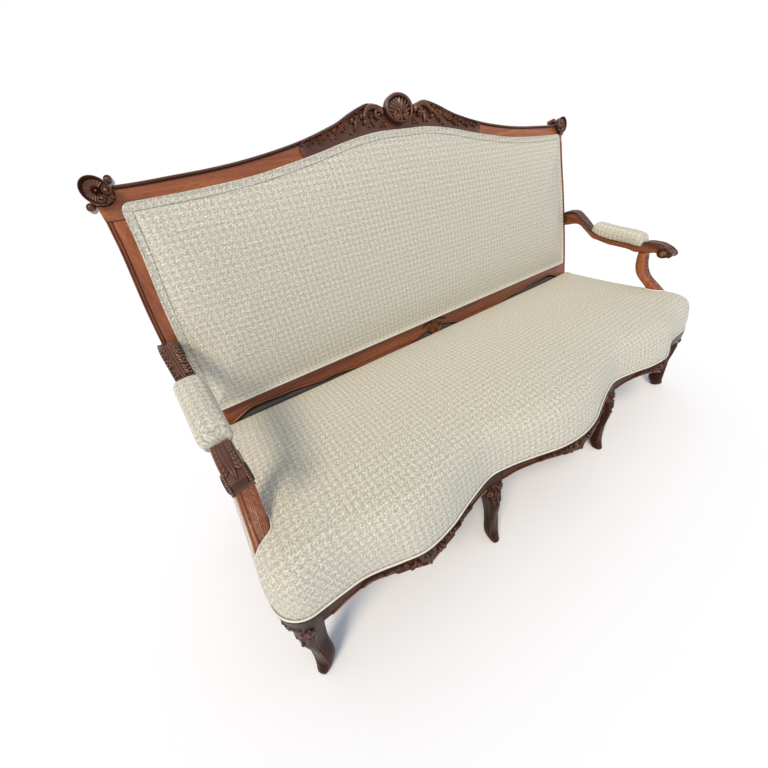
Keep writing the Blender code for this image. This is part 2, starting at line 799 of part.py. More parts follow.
def make_front_rails():
    # Three bowed rails between the leg blocks, with a moulded lower edge.
    right = right_rail_places()
    spans = {
        "front_rail_centre": centre_rail_places(), "front_rail_right": right,
        "front_rail_left": [-x for x in reversed(right)]}

    def section(x, share):
        low = fabric_low - show_rail_height * table_value(rail_show_shares, share)
        face = seat_line(x) - show_reach
        hidden = seat_line(x) + seat_skirt + fit_gap
        step = fabric_low - fit_gap
        bead = rail_bead / 2
        profile = (
            (rail_inner(x), low), (face + rail_bead, low), (face - bead, low + rail_bead_height * 0.2),
            (face - bead, low + rail_bead_height * 0.8), (face + bead, low + rail_bead_height),
            (face, low + rail_bead_height * 1.2), (face, step), (hidden, step), (hidden, rail_top),
            (rail_inner(x), rail_top))
        return [(x, y, z) for y, z in profile]

    for name, places in spans.items():
        length = places[-1] - places[0]
        loft(name, [section(x, (x - places[0]) / length) for x in places], "show_wood")


def make_side_rail(side, name):
    low = fabric_low - show_rail_height * rail_show_shares[1][1]

    def section(y):
        face = seat_side(y) + show_reach
        hidden = side_rail_outer(y)
        inner = side_rail_inner(y)
        step = fabric_low - fit_gap
        bead = rail_bead / 2
        profile = (
            (inner, low), (face - rail_bead, low), (face + bead, low + rail_bead_height * 0.2),
            (face + bead, low + rail_bead_height * 0.8), (face - bead, low + rail_bead_height),
            (face, low + rail_bead_height * 1.2), (face, step), (hidden, step), (hidden, rail_top),
            (inner, rail_top))
        return mirrored([(x, y, z) for x, z in profile], side)

    start = outer_leg_rear() + fit_gap
    loft(name, [section(y) for y in steps(start, post_front_y - fit_gap, 3)], "show_wood")


def make_rear_rail():
    end = post_outer - post_width - fit_gap
    low = (-end, post_front_y, rail_top - rear_rail_height)
    high = (end, post_front_y + rear_rail_thickness, rail_top)
    boxes("rear_seat_rail", [(low, high)], "show_wood")


def outer_block(distance):
    # The corner leg's block in plan: square inside, and parallel to the seat's rounded corner.
    inner, rear = outer_leg_inner_face, outer_leg_rear()
    corner_y = corner_start()
    across, along = seat_corner_across - distance, seat_corner_along - distance
    end = math.acos((corner_y - rear) / along)
    corner = [
        (seat_straight + across * math.sin(angle), corner_y - along * math.cos(angle))
        for angle in steps(0, end, 7)]
    front = seat_line(inner) + distance
    plan = [(inner, y) for y in steps(rear, front, 4)] + corner
    return plan + [(x, rear) for x in steps(corner[-1][0], inner, 4)[1:-1]]


def inner_block(distance):
    # The middle leg's block in plan: its front follows the seat line.
    low = inner_leg_out - inner_leg_half_width
    high = inner_leg_out + inner_leg_half_width
    rear = inner_leg_rear()
    front = [(x, seat_line(x) + distance) for x in steps(low, high, 4)]
    plan = [(low, y) for y in steps(rear, front[0][1], 4)[:-1]] + front
    plan += [(high, y) for y in steps(front[-1][1], rear, 4)[1:-1]]
    return plan + [(x, rear) for x in steps(high, low, 4)[:-1]]


def leg_rings(block, hidden, centre, heading, toe, knee):
    # A block behind the cloth and under it, then a knee, a slim ankle and a turned-out toe.
    rings = []
    levels = (
        (hidden, rail_top, 1), (hidden, fabric_low - fit_gap, 1), (-show_reach, fabric_low - fit_gap * 2, 1),
        (-show_reach, leg_height, 1), (-show_reach, leg_height * 0.975, 0.93))
    for distance, level, share in levels:
        plan = block(distance)
        slim = [blend_in(point, centre, 0, 1 - share) for point in plan]
        rings.append([(x, y, level) for x, y in slim])
    headings = [math.atan2(y - centre[1], x - centre[0]) for x, y in plan]
    turn = math.radians(heading)
    for height, reach, along, across in cabriole_shares:
        x = centre[0] + toe * reach * math.cos(turn)
        y = centre[1] + toe * reach * math.sin(turn)
        points = []
        for angle in headings:
            a = math.cos(angle - turn) / (knee * along)
            b = math.sin(angle - turn) / (knee * across)
            radius = (abs(a) ** 2.5 + abs(b) ** 2.5) ** (-1 / 2.5)
            points.append((x + radius * math.cos(angle), y + radius * math.sin(angle), leg_height * height))
        rings.append(points)
    return rings


def make_outer_leg(side, name):
    centre = (outer_leg_centre_out, seat_line(seat_straight) + outer_leg_centre_back)
    hidden = seat_skirt + outer_leg_hidden_inset
    rings = leg_rings(outer_block, hidden, centre, outer_leg_heading, outer_toe_reach, outer_knee)
    loft(name, [mirrored(ring, side) for ring in rings], "show_wood")


def make_inner_leg(side, name):
    centre = (inner_leg_out, (seat_line(inner_leg_out) - show_reach + inner_leg_rear()) / 2)
    hidden = seat_skirt + fit_gap * 4
    rings = leg_rings(inner_block, hidden, centre, -90, inner_toe_reach, inner_knee)
    loft(name, [mirrored(ring, side) for ring in rings], "show_wood")


def make_corner_blocks():
    # Glue blocks: notched round the front corner legs, plain at the rear.
    low = rail_top - block_drop - block_height
    high = rail_top - block_drop
    leg = outer_leg_inner_face - fit_gap
    behind = outer_leg_rear() + fit_gap
    edge_y = outer_leg_rear() + front_block_size
    front = [(x, rail_inner(x) + fit_gap) for x in right_rail_places()[-3:]]
    front += [
        (leg, behind),
        (side_rail_inner(behind) - fit_gap, behind),
        (side_rail_inner(edge_y) - fit_gap, edge_y)]
    rear_y = post_front_y - fit_gap
    edge = rear_y - rear_block_size
    rear = [
        (side_rail_inner(rear_y) - fit_gap, rear_y), (side_rail_inner(edge) - fit_gap, edge),
        (side_rail_inner(rear_y) - rear_block_size, rear_y)]
    for side, hand in ((1, "right"), (-1, "left")):
        slab("front_corner_block_" + hand, mirrored(front, side), low, high, "frame_timber")
        slab("rear_corner_block_" + hand, mirrored(rear, side), low, high, "frame_timber")


def make_bearer(side, name):
    half = bearer_width / 2
    x = side * inner_leg_out
    top = rail_top - sheet_thickness - fit_gap
    low = (x - half, inner_leg_rear() + fit_gap, top - bearer_height)
    boxes(name, [(low, (x + half, post_front_y - fit_gap, top))], "frame_timber")


def spring_curve(height):
    # An hourglass coil of wire, standing on its lower end.
    curve = bpy.data.curves.new("seat_spring", "CURVE")
    curve.dimensions = "3D"
    curve.bevel_depth = spring_wire
    curve.bevel_resolution = 0
    curve.use_fill_caps = True
    spline = curve.splines.new("POLY")
    count = int(spring_turns * spring_points_per_turn)
    spline.points.add(count)
    for i in range(count + 1):
        share = i / count
        angle = 2 * math.pi * spring_turns * share
        radius = spring_waist + (spring_radius - spring_waist) * (2 * share - 1) ** 2
        spline.points[i].co = (radius * math.cos(angle), radius * math.sin(angle), height * share, 1)
    return curve


def make_seat_inside():
    # Black cloth, webbing, coil springs and hessian, from the bottom up.
    outline = well_outline(fit_gap)
    slab("bottom_cloth", outline, well_low, well_low + sheet_thickness / 2, "lining")
    hessian_low = rail_top - sheet_thickness
    slab("seat_hessian", outline, hessian_low, rail_top, "hessian")

    half = webbing_width / 2
    across_low = leg_height + webbing_rise
    along_low = across_low + sheet_thickness / 2
    straps = []
    rows = [seat_valley_reach * share for share in spring_row_shares]
    spring_outs = [seat_straight * share for share in spring_out_shares]
    for forward in rows:
        end = side_rail_inner(-forward - half) - strap_end_gap
        low = (-end, -forward - half, across_low)
        straps.append((low, (end, -forward + half, across_low + sheet_thickness)))
    for out in spring_outs:
        front = max(rail_inner(out - half), rail_inner(out), rail_inner(out + half)) + strap_end_gap
        for x in sorted({-out, out}):
            low = (x - half, front, along_low)
            straps.append((low, (x + half, post_front_y - fit_gap, along_low + sheet_thickness)))
    boxes("seat_webbing", straps, "web")

    foot = along_low + sheet_thickness + fit_gap + spring_wire
    head = hessian_low - fit_gap - spring_wire
    coil = spring_curve(head - foot)
    outs = sorted({side * out for out in spring_outs for side in (1, -1)})
    places = [(x, -forward) for forward in rows for x in outs]
    for number, (x, y) in enumerate(places, 1):
        spring = bpy.data.objects.new(f"seat_spring_{number:02d}", coil)
        finish_object(spring, "spring_steel")
        spring.location = (x, y, foot)


def make_seat():
    # The stuffed seat: a cap whose skirt hides the rails, cut round the arm posts.
    outline = seat_outline()
    rise = seat_crown - fabric_low
    ceiling = rail_top + fit_gap
    inner = [inset(point, seat_skirt) for point in outline]
    rings = [[(*point, level) for point in inner] for level in (ceiling, fabric_low)]
    for reach, height in seat_edge_shares:
        level = fabric_low + rise * height
        rings.append(seat_ring(outline, level, seat_edge_roll * reach, 0, rear_edge_share))
    for share, height in seat_top_shares:
        rings.append(seat_ring(outline, fabric_low + rise * height, 0, share))
    seat = loft("seat_upholstery", rings, "seat_cloth")
    rear = seat_rear_y - seat_skirt - fit_gap
    side = side_rail_outer(seat_rear_y) + fit_gap
    low = (-side, rear, 0)
    high = (side, rear + cut_overrun * 2, ceiling + fit_gap)
    boolean(seat, box_mesh("rear_skirt", low, high), "DIFFERENCE")
    for side in (1, -1):
        rings = [mirrored(ring, side) for ring in arm_post_rings(fit_gap * 2, cut_overrun)]
        boolean(seat, loft_mesh("post_notch", rings), "DIFFERENCE")

    edge = seat_open_edge()
    run = list(reversed(edge)) + [(-x, y) for x, y in edge[1:]]
    curve = bpy.data.curves.new("seat_gimp", "CURVE")
    curve.dimensions = "3D"
    curve.bevel_depth = gimp_radius
    curve.bevel_resolution = 0
    curve.use_fill_caps = True
    spline = curve.splines.new("POLY")
    spline.points.add(len(run) - 1)
    reach = gimp_radius + fit_gap * 2
    for i, (x, y) in enumerate(run):
        before, after = run[max(i - 1, 0)], run[min(i + 1, len(run) - 1)]
        along = Vector((after[0] - before[0], after[1] - before[1])).normalized()
        place = (x - along.y * reach, y + along.x * reach, fabric_low + gimp_radius, 1)
        spline.points[i].co = place
    finish_object(bpy.data.objects.new("seat_gimp", curve), "edge_gimp")


# Arms

def arm_root_out():
    # The arm meets the stile just outside the upholstered panel.
    level = arm_low + arm_rise * arm_end_share_low
    side = panel_side((level - back_foot_height) / math.cos(rake))
    return side + arm_panel_gap + arm_thickness / 2


def arm_yaw():
    # Each arm turns in a little toward its front.
    return math.atan((arm_root_out() - arm_front_out) / arm_reach)


def arm_post_rings(grow, overrun=0):
    # Sections of the arm post from under the arm down to the side rail.
    top = arm_low + arm_rise * arm_post_seat_shares[0][1] - fit_gap
    bottom = rail_top + fit_gap
    front_top = arm_root_y - arm_reach * arm_post_seat_shares[0][0]
    rear_top = arm_root_y - arm_reach * arm_post_seat_shares[1][0]
    middle_top = (front_top + rear_top) / 2
    out_top = arm_root_out() - (arm_root_y - middle_top) * math.tan(arm_yaw())
    rings = []
    for drop, sweep, deep, lean in arm_post_shares:
        level = top - (top - bottom) * drop
        middle = middle_top - arm_post_sweep * sweep
        out = out_top + arm_post_lean * lean
        across = arm_post_half_width + grow
        along = arm_post_depth * deep / 2 + grow
        ring = []
        for i in range(12):
            angle = 2 * math.pi * (i + 0.5) / 12
            c, s = math.cos(angle), math.sin(angle)
            radius = (abs(c / across) ** 3.4 + abs(s / along) ** 3.4) ** (-1 / 3.4)
            ring.append((out + radius * c, middle + radius * s, level))
        rings.append(ring)
    if overrun:
        rings.append([(x, y, z - overrun) for x, y, z in rings[-1]])
    return rings


def arm_place(shares):
    return (-arm_reach * shares[0], arm_low + arm_rise * shares[1])


def make_arm(side, hand):
    frame = bpy.data.objects.new("arm_frame_" + hand, None)
    settee.objects.link(frame)
    frame.parent = root
    frame.location = (side * arm_root_out(), arm_root_y, 0)
    frame.rotation_euler = (0, 0, -side * arm_yaw())

    ends = []
    for share in (arm_end_share_low, arm_end_share_high):
        level = arm_low + arm_rise * share
        v = (level - back_foot_height) / math.cos(rake)
        ends.append((back_point(0, 0, v)[1] - arm_root_y - arm_end_gap, level))
    tables = arm_top_shares + arm_pad_seat_shares + arm_front_shares
    outline = [arm_place(row) for row in tables + arm_post_seat_shares + arm_under_shares]
    outline = [ends[1]] + outline + [ends[0]]
    name = "arm_" + hand
    curve = bpy.data.curves.new(name, "CURVE")
    curve.dimensions = "2D"
    curve.fill_mode = "BOTH"
    curve.extrude = arm_thickness / 2 - arm_edge
    curve.bevel_depth = arm_edge
    curve.bevel_resolution = 1
    curve.offset = -arm_edge
    spline = curve.splines.new("POLY")
    spline.use_cyclic_u = True
    spline.points.add(len(outline) - 1)
    for i, (y, z) in enumerate(outline):
        spline.points[i].co = (y, z, 0, 1)
    arm = finish_object(bpy.data.objects.new(name, curve), "show_wood", frame)
    arm.rotation_euler = (math.pi / 2, 0, math.pi / 2)

    seat = [arm_place(row) for row in arm_pad_seat_shares]
    first, last = seat[0][0], seat[-1][0]
    rings = []
    for place, width, height in pad_end_shares:
        y = first + (last - first) * place
        low = table_value(sorted(seat), y) + arm_edge / 2
        across = pad_half_width * width
        tall = pad_thickness * height
        section = [(across * a, low + tall * b) for a, b in pad_section_shares]
        loop = section + [(-a, b) for a, b in reversed(section)]
        rings.append([(x, y, z) for x, z in loop])
    loft("arm_pad_" + hand, rings, "seat_cloth", frame)
    rings = [mirrored(ring, side) for ring in arm_post_rings(0)]
    loft("arm_post_" + hand, rings, "show_wood")


make_crest_rail()
make_crest_shell()
make_lower_rail()
make_back_panel()
make_back_inside()
make_front_rails()
make_rear_rail()
make_corner_blocks()
make_seat_inside()
make_seat()
for hand_side, hand_name in ((1, "right"), (-1, "left")):
    make_ear(hand_side, "ear_rosette_" + hand_name)
    make_rear_post(hand_side, "rear_post_" + hand_name)
    make_side_rail(hand_side, "side_rail_" + hand_name)
    make_outer_leg(hand_side, "front_leg_outer_" + hand_name)
    make_inner_leg(hand_side, "front_leg_inner_" + hand_name)
    make_bearer(hand_side, "seat_bearer_" + hand_name)
    make_arm(hand_side, hand_name)

# The origin goes under the middle of the whole piece.
bpy.context.view_layer.update()
reach = []
for piece in settee.objects:
    if piece.type in {"MESH", "CURVE"}:
        reach += [(piece.matrix_world @ Vector(corner)).y for corner in piece.bound_box]
root.location.y = -(min(reach) + max(reach)) / 2
bpy.context.view_layer.update()
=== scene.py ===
import math

import bmesh
import bpy
import numpy as np
from mathutils import Matrix, Vector, noise
from mathutils.bvhtree import BVHTree


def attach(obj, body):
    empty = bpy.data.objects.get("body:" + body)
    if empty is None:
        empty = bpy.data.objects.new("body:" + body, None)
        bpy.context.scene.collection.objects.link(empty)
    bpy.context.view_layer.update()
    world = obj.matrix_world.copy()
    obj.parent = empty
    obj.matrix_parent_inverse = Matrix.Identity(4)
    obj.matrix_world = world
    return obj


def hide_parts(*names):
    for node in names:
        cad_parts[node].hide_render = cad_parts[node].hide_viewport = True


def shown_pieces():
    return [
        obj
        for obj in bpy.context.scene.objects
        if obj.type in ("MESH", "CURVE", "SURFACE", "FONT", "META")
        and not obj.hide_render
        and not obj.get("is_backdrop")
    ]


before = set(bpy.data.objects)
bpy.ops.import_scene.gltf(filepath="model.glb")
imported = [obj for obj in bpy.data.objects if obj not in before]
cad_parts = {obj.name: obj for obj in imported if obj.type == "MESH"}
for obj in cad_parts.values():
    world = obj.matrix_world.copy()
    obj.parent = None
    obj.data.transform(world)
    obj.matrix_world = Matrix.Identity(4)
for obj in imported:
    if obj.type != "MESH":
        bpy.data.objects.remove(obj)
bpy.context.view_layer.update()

# The settee's main lines, in metres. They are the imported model's own, so each piece lands on its node.
lines = {
    "backLineY": 0.21539,      # where the back line (y = 0 in the tables) stands in the frame
    "frontLow": 0.308,         # lower edge of the seat cloth
    "railTop": 0.353,
    "seatCrown": 0.450,
    "seatSide": 0.930, "seatFrontSide": 0.900, "seatCornerAcross": 0.076, "seatCornerAlong": 0.082,
    "seatFront": 0.5535, "seatBow": 0.066,
    "rake": math.radians(11.1), "backFootZ": 0.492, "backFaceY": 0.028,
    "panelSide": 0.824, "panelSpread": 0.048, "panelHeight": 0.549, "panelRise": 0.077,
    "frameDepth": 0.034, "stileFace": 0.041, "frameLip": 0.020, "jointV": 0.522,
    "legTop": 0.268,
}

bowTable = (
    (0.0, 1.0), (0.1, 0.86), (0.197, 0.5), (0.296, 0.15), (0.379, 0.0), (0.493, 0.26),
    (0.591, 0.57), (0.69, 0.67), (0.765, 0.45), (0.81, 0.28), (0.866, 0.12), (0.93, 0.09), (1.0, 0.09))
panelTopTable = (
    (0.0, 1.0), (0.12, 0.99), (0.24, 0.84), (0.37, 0.58), (0.49, 0.37),
    (0.61, 0.19), (0.73, 0.09), (0.85, 0.03), (1.0, 0.0))
panelSideTable = (
    (0.0, 1.0), (0.2, 0.92), (0.39, 0.76), (0.57, 0.56), (0.72, 0.33), (0.82, 0.17), (0.9, 0.08), (1.0, 0.0))


def curveAt(table, at):  # smooth value through a table's points
    keys = [row[0] for row in table]
    values = [row[1] for row in table]
    last = len(table) - 1
    at = min(max(at, keys[0]), keys[last])
    left = max(i for i in range(last) if keys[i] <= at)

    def slope(i):
        if i in (0, last):
            return 0
        return (values[i + 1] - values[i - 1]) / (keys[i + 1] - keys[i - 1])

    span = keys[left + 1] - keys[left]
    t = (at - keys[left]) / span
    rise = values[left + 1] - values[left]
    a, b = slope(left) * span, slope(left + 1) * span
    return values[left] + a * t + (3 * rise - 2 * a - b) * t ** 2 + (a + b - 2 * rise) * t ** 3


def evenly(first, last, count):
    return [first + (last - first) * i / count for i in range(count + 1)]


def place(x, y, z):  # from the back line's own y to the frame's
    return Vector((x, y + lines["backLineY"], z))


def onBack(x, v, out=0.0):  # a point of the raked back: across, up the slope, in front of the frame's face
    y = lines["backFaceY"] + v * math.sin(lines["rake"]) - out * math.cos(lines["rake"])
    return place(x, y, lines["backFootZ"] + v * math.cos(lines["rake"]) + out * math.sin(lines["rake"]))


def panelTop(x):
    return lines["panelHeight"] + lines["panelRise"] * curveAt(panelTopTable, abs(x) / lines["panelSide"])


def panelEdge(v):
    return lines["panelSide"] + lines["panelSpread"] * curveAt(panelSideTable, v / lines["panelHeight"])


seatStraight = lines["seatFrontSide"] - lines["seatCornerAcross"]


def seatLine(x):  # front edge of the seat cloth
    return -lines["seatFront"] - lines["seatBow"] * curveAt(bowTable, min(abs(x) / seatStraight, 1))


cornerY = seatLine(seatStraight) + lines["seatCornerAlong"]  # where the rounded corner meets the side

# Mesh tools

def resample(points, count, closed=False):  # evenly spaced along a line
    pts = np.array(points, float)
    if closed:
        pts = np.vstack([pts, pts[:1]])
    run = np.concatenate([[0], np.cumsum(np.linalg.norm(np.diff(pts, axis=0), axis=1))])
    at = np.linspace(0, run[-1], count + 1)
    out = np.stack([np.interp(at, run, pts[:, k]) for k in range(pts.shape[1])], 1)
    return out[:-1] if closed else out


def smoothLine(points, count, closed=False):  # a Catmull-Rom line through the points, evenly spaced
    pts = np.array(points, float)
    if len(pts) < 3:
        return resample(pts, count)
    if closed:
        ext = np.vstack([pts[-1:], pts, pts[:2]])
    else:
        ext = np.vstack([2 * pts[0] - pts[1], pts, 2 * pts[-1] - pts[-2]])
    fine = []
    for i in range(1, len(ext) - 2):
        a, b, c, d = ext[i - 1:i + 3]
        for t in np.linspace(0, 1, 12, endpoint=False):
            fine.append(0.5 * (2 * b + (c - a) * t + (2 * a - 5 * b + 4 * c - d) * t ** 2
                               + (3 * b - a - 3 * c + d) * t ** 3))
    if not closed:
        fine.append(ext[-2])
    return resample(fine, count, closed)


def objectOf(name, data):
    ob = bpy.data.objects.new(name, data)
    bpy.context.scene.collection.objects.link(ob)
    return ob


def keepTone(mesh, values):  # a tone kept on the mesh, read by the wood as stain, wax and wear, and as painted shade and highlight
    layer = mesh.attributes.new("tone", "FLOAT", "POINT")
    layer.data.foreach_set("value", np.array(values, np.float32))


def meshOf(name, verts, faces, merge=0.00002, tone=None):
    mesh = bpy.data.meshes.new(name)
    mesh.from_pydata([tuple(map(float, v)) for v in verts], [], faces)
    if tone is not None:
        keepTone(mesh, tone)
    bm = bmesh.new()
    bm.from_mesh(mesh)
    if merge:
        bmesh.ops.remove_doubles(bm, verts=bm.verts, dist=merge)
    bmesh.ops.recalc_face_normals(bm, faces=bm.faces)
    bm.to_mesh(mesh)
    bm.free()
    return mesh


def ringFaces(rows, count, wrapped=False):
    faces = []
    for i in range(rows - (0 if wrapped else 1)):
        a, b = i * count, (i + 1) % rows * count
        faces += [(a + j, a + (j + 1) % count, b + (j + 1) % count, b + j) for j in range(count)]
    return faces


def ringObject(name, rings, faces):
    return objectOf(name, meshOf(name, [p for ring in rings for p in ring], faces))


def skinRings(name, rings, wrapped=False):
    count = len(rings[0])
    faces = ringFaces(len(rings), count, wrapped)
    if not wrapped:
        faces.append(tuple(range(count - 1, -1, -1)))
        faces.append(tuple(range((len(rings) - 1) * count, len(rings) * count)))
    return ringObject(name, rings, faces)


def coverOf(name, rings):  # rings closed at both ends, each end's long sides lying face to face
    count = len(rings[0])
    faces = ringFaces(len(rings), count)
    end = count // 4  # the right end of a ring that starts at its middle
    for start in (0, (len(rings) - 1) * count):
        for i in range(count // 2):
            corners = [start + (end + k) % count for k in (i, i + 1, -i - 1, -i)]
            corners = tuple(dict.fromkeys(corners))
            if len(corners) > 2:
                faces.append(corners)
    return ringObject(name, rings, faces)


def arc(first, last, count):  # cosine and sine at even steps between two angles in degrees
    return [(math.cos(math.radians(a)), math.sin(math.radians(a))) for a in evenly(first, last, count)]


def around(count):  # angles once round
    return [2 * math.pi * k / count for k in range(count)]


def bothSides(half, count):  # a closed outline from its right half
    right = resample(half, count)
    return np.vstack([right, [(-x, y) for x, y in right[1:-1][::-1]]])


def coreOf(outline, limit, level):  # the line inside an outline that its rings close on
    return np.stack([np.clip(outline[:, 0], -limit, limit), np.full(len(outline), level)], 1)


def backRing(points, out):  # points of the raked back, all at one distance in front of its face
    return [onBack(x, v, out) for x, v in points]


def column(table, k):
    return [(row[0], row[k]) for row in table]


def tubeAlong(name, path, radius, sides=10, closed=False, flat=1.0):  # a round or flattened cord
    path = [Vector(p) for p in path]
    count = len(path)
    rings = []
    for i, p in enumerate(path):
        before = path[i - 1] if closed or i else path[0]
        after = path[(i + 1) % count] if closed or i < count - 1 else path[-1]
        run = (after - before).normalized()
        side = run.cross(Vector((0, 0, 1)))
        side = side.normalized() if side.length > 0.2 else run.cross(Vector((0, 1, 0))).normalized()
        up = side.cross(run).normalized()
        rings.append([p + side * (math.cos(a) * radius * flat) + up * (math.sin(a) * radius)
                      for a in around(sides)])
    return skinRings(name, rings, wrapped=closed)


def joined(name, objects):  # several meshes as one
    bm = bmesh.new()
    for ob in objects:
        bm.from_mesh(ob.data)
    mesh = bpy.data.meshes.new(name)
    bm.to_mesh(mesh)
    bm.free()
    for ob in objects:
        bpy.data.objects.remove(ob, do_unlink=True)
    return objectOf(name, mesh)


def mirrorOf(ob, name):
    mesh = ob.data.copy()
    mesh.transform(Matrix.Scale(-1, 4, (1, 0, 0)))
    mesh.flip_normals()
    return objectOf(name, mesh)


def dress(ob, material, replaced=(), sharp=50):  # finish, shading, body and what it stands for
    ob.data.materials.clear()
    ob.data.materials.append(material)
    ob.data.shade_smooth()
    ob.data.set_sharp_from_angle(angle=math.radians(sharp))
    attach(ob, "root")
    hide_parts(*replaced)


def dressPair(right, material, node="", sharp=50):  # a right piece and its mirror image, which it returns
    left = mirrorOf(right, right.name.replace("Right", "Left"))
    for ob, hand in ((right, "_right"), (left, "_left")):
        dress(ob, material, [node + hand] if node else (), sharp)
    return left


# Carving: leaves, stems and scrolls laid on a surface, each a closed body

def newCarving():
    return {"verts": [], "faces": [], "tone": []}


def carve(parts, host, spine, width, height, rows=30, cols=12, sunk=0.0012, shade=1.0):
    # host(u, v, h) places a point on the piece; width(s) and height(s, t) shape the relief
    line = smoothLine(spine, rows)
    tangent = np.gradient(line, axis=0)
    tangent /= np.maximum(np.linalg.norm(tangent, axis=1), 1e-9)[:, None]
    base = len(parts["verts"])
    peak = 1e-9
    heights = []
    for i in range(rows + 1):
        s = i / rows
        for j in range(cols + 1):
            t = -1 + 2 * j / cols
            rim = j in (0, cols) or i in (0, rows)
            h = -sunk if rim else max(height(s, t), -sunk * 0.5)
            u = line[i][0] - tangent[i][1] * width(s) * t
            v = line[i][1] + tangent[i][0] * width(s) * t
            parts["verts"].append(host(u, v, h))
            heights.append(h)
            peak = max(peak, h)
    # the tone is the relief's height share, scaled by shade: the carved finish paints wax and shade into the low
    # parts, and wear and highlight onto the tops
    parts["tone"] += [shade * min(max(h / peak, 0), 1) for h in heights]
    wide = cols + 1
    for i in range(rows):
        for j in range(cols):
            a = base + i * wide + j
            parts["faces"].append((a, a + 1, a + wide + 1, a + wide))
        a = base + i * wide
        parts["faces"].append((a, a + wide, a + wide + cols, a + cols))
    parts["faces"].append(tuple(base + j for j in range(cols, -1, -1)))
    parts["faces"].append(tuple(base + rows * wide + j for j in range(cols + 1)))


def carvingObject(name, parts):
    return objectOf(name, meshOf(name, parts["verts"], parts["faces"], 0, parts["tone"]))


def leafWidth(wide, lobes=4, notch=0.3):
    def width(s):
        body = math.sin(math.pi * min(max(s * 0.9 + 0.07, 0), 1)) ** 0.7
        return wide * body * (1 - notch * (0.5 + 0.5 * math.cos(2 * math.pi * (lobes * s + 0.15))))
    return width


def leafHeight(deep, lobes=4, curl=0.25):
    def height(s, t):
        a = abs(t)
        dome = math.sqrt(max(1 - a ** 2.4, 0))
        veins = 0.5 + 0.5 * math.cos(2 * math.pi * (lobes * s - 0.75 * a + 0.4))
        spine = math.exp(-(t / 0.1) ** 2)
        ends = min(1, s / 0.12) * min(1, (1 - s) / 0.1)
        return deep * ends * (dome * (0.5 + 0.42 * veins * min(1, 3 * a)) - 0.22 * spine + curl * s ** 3 * dome)
    return height


def stemHeight(deep, grooves=1, fade=0.06):
    def height(s, t):
        ends = min(1, s / fade) * min(1, (1 - s) / fade)
        roll = math.sqrt(max(1 - t * t, 0))
        return deep * ends * roll * (1 - 0.32 * math.cos(math.pi * grooves * t) ** 8)
    return height


def stem(parts, host, spine, start, end, deep, rows=40, cols=8, grooves=1, **more):
    # a rounded stem, its half width running from start to end
    carve(parts, host, spine, lambda s: start + (end - start) * s, stemHeight(deep, grooves), rows, cols, **more)


def volute(parts, host, centre, coil, widths, deep, boss, rows=40, cols=8, **more):
    # a coil of a stem, with a boss on its eye
    stem(parts, host, spiral(centre, *coil), *widths, deep, rows, cols, **more)
    button(parts, host, centre, *boss)


def spiral(centre, first, last, start, turns, count=24):  # degrees; a negative turn runs clockwise
    out = []
    for i in range(count + 1):
        s = i / count
        angle = math.radians(start) + 2 * math.pi * turns * s
        r = first + (last - first) * s ** 0.8
        out.append((centre[0] + r * math.cos(angle), centre[1] + r * math.sin(angle)))
    return out


def leafletHeight(deep):  # cupped, with a vein down its middle and a tip that curls up
    def height(s, t):
        dome = math.sqrt(max(1 - abs(t) ** 2.2, 0))
        ends = min(1, s / 0.15) * min(1, (1 - s) / 0.14)
        return deep * ends * dome * (0.62 + 0.38 * s - 0.34 * math.exp(-(t / 0.22) ** 2))
    return height


def acanthus(parts, host, spine, wide, deep, pairs, taper=0.5):
    # a blade down the middle, and broad lobes that overlap along both its sides
    line = smoothLine(spine, 60)
    for k in range(pairs):
        s = 0.03 + 0.74 * k / pairs
        i = int(s * 60)
        at, run = line[i], line[i + 1] - line[i]
        run = run / np.linalg.norm(run)
        size = wide * (1 - taper * s)
        for way in (1, -1):
            side = np.array([-run[1], run[0]]) * way
            lobe = [at, at + run * size * 0.45 + side * size * 0.58, at + run * size * 1.15 + side * size * 0.74]
            carve(parts, host, lobe, leafWidth(size * 0.46, 1, 0), leafletHeight(deep * (0.85 - 0.2 * s)),
                  rows=12, cols=8)
    carve(parts, host, line, leafWidth(wide * 0.46, 1, 0), leafletHeight(deep), rows=26, cols=10)


def button(parts, host, centre, radius, deep, rows=8, cols=16):  # a small round boss
    base = len(parts["verts"])
    for i in range(rows + 1):
        r = i / rows
        for j, a in enumerate(around(cols)):
            h = deep * math.sqrt(max(1 - r ** 2.2, 0)) if i < rows else -0.001
            u, v = centre[0] + radius * r * math.cos(a), centre[1] + radius * r * math.sin(a)
            if i or not j:
                parts["verts"].append(host(u, v, h))
                # height share as tone: wax and painted shade at the foot, wear and painted highlight on the crown
                parts["tone"].append(max(h / deep, 0))
    for j in range(cols):
        k = (j + 1) % cols
        parts["faces"].append((base, base + 1 + j, base + 1 + k))
        for i in range(rows - 1):
            a = base + 1 + i * cols
            parts["faces"].append((a + j, a + cols + j, a + cols + k, a + k))
    last = base + 1 + (rows - 1) * cols
    parts["faces"].append(tuple(last + j for j in range(cols - 1, -1, -1)))


# Finishes

def hexColour(text):  # an sRGB hex value as linear colour
    parts = [int(text[i:i + 2], 16) / 255 for i in (1, 3, 5)]
    return tuple(c / 12.92 if c <= 0.04045 else ((c + 0.055) / 1.055) ** 2.4 for c in parts) + (1.0,)


def add(tree, kind, links=None, **settings):  # one node, its settings and what feeds it
    made = tree.nodes.new(kind if "Node" in kind else "ShaderNode" + kind)
    for key, value in settings.items():
        setattr(made, key, value)
    for socket, value in (links or {}).items():
        feed(tree, made.inputs[socket], value)
    return made


def feed(tree, socket, value):
    if isinstance(value, bpy.types.NodeSocket):
        tree.links.new(value, socket)
    else:
        socket.default_value = value


def mapped(tree, value, low, high, first=0.0, last=1.0):  # first to last becomes low to high
    return add(tree, "MapRange", {0: value, 1: first, 2: last, 3: low, 4: high}).outputs[0]


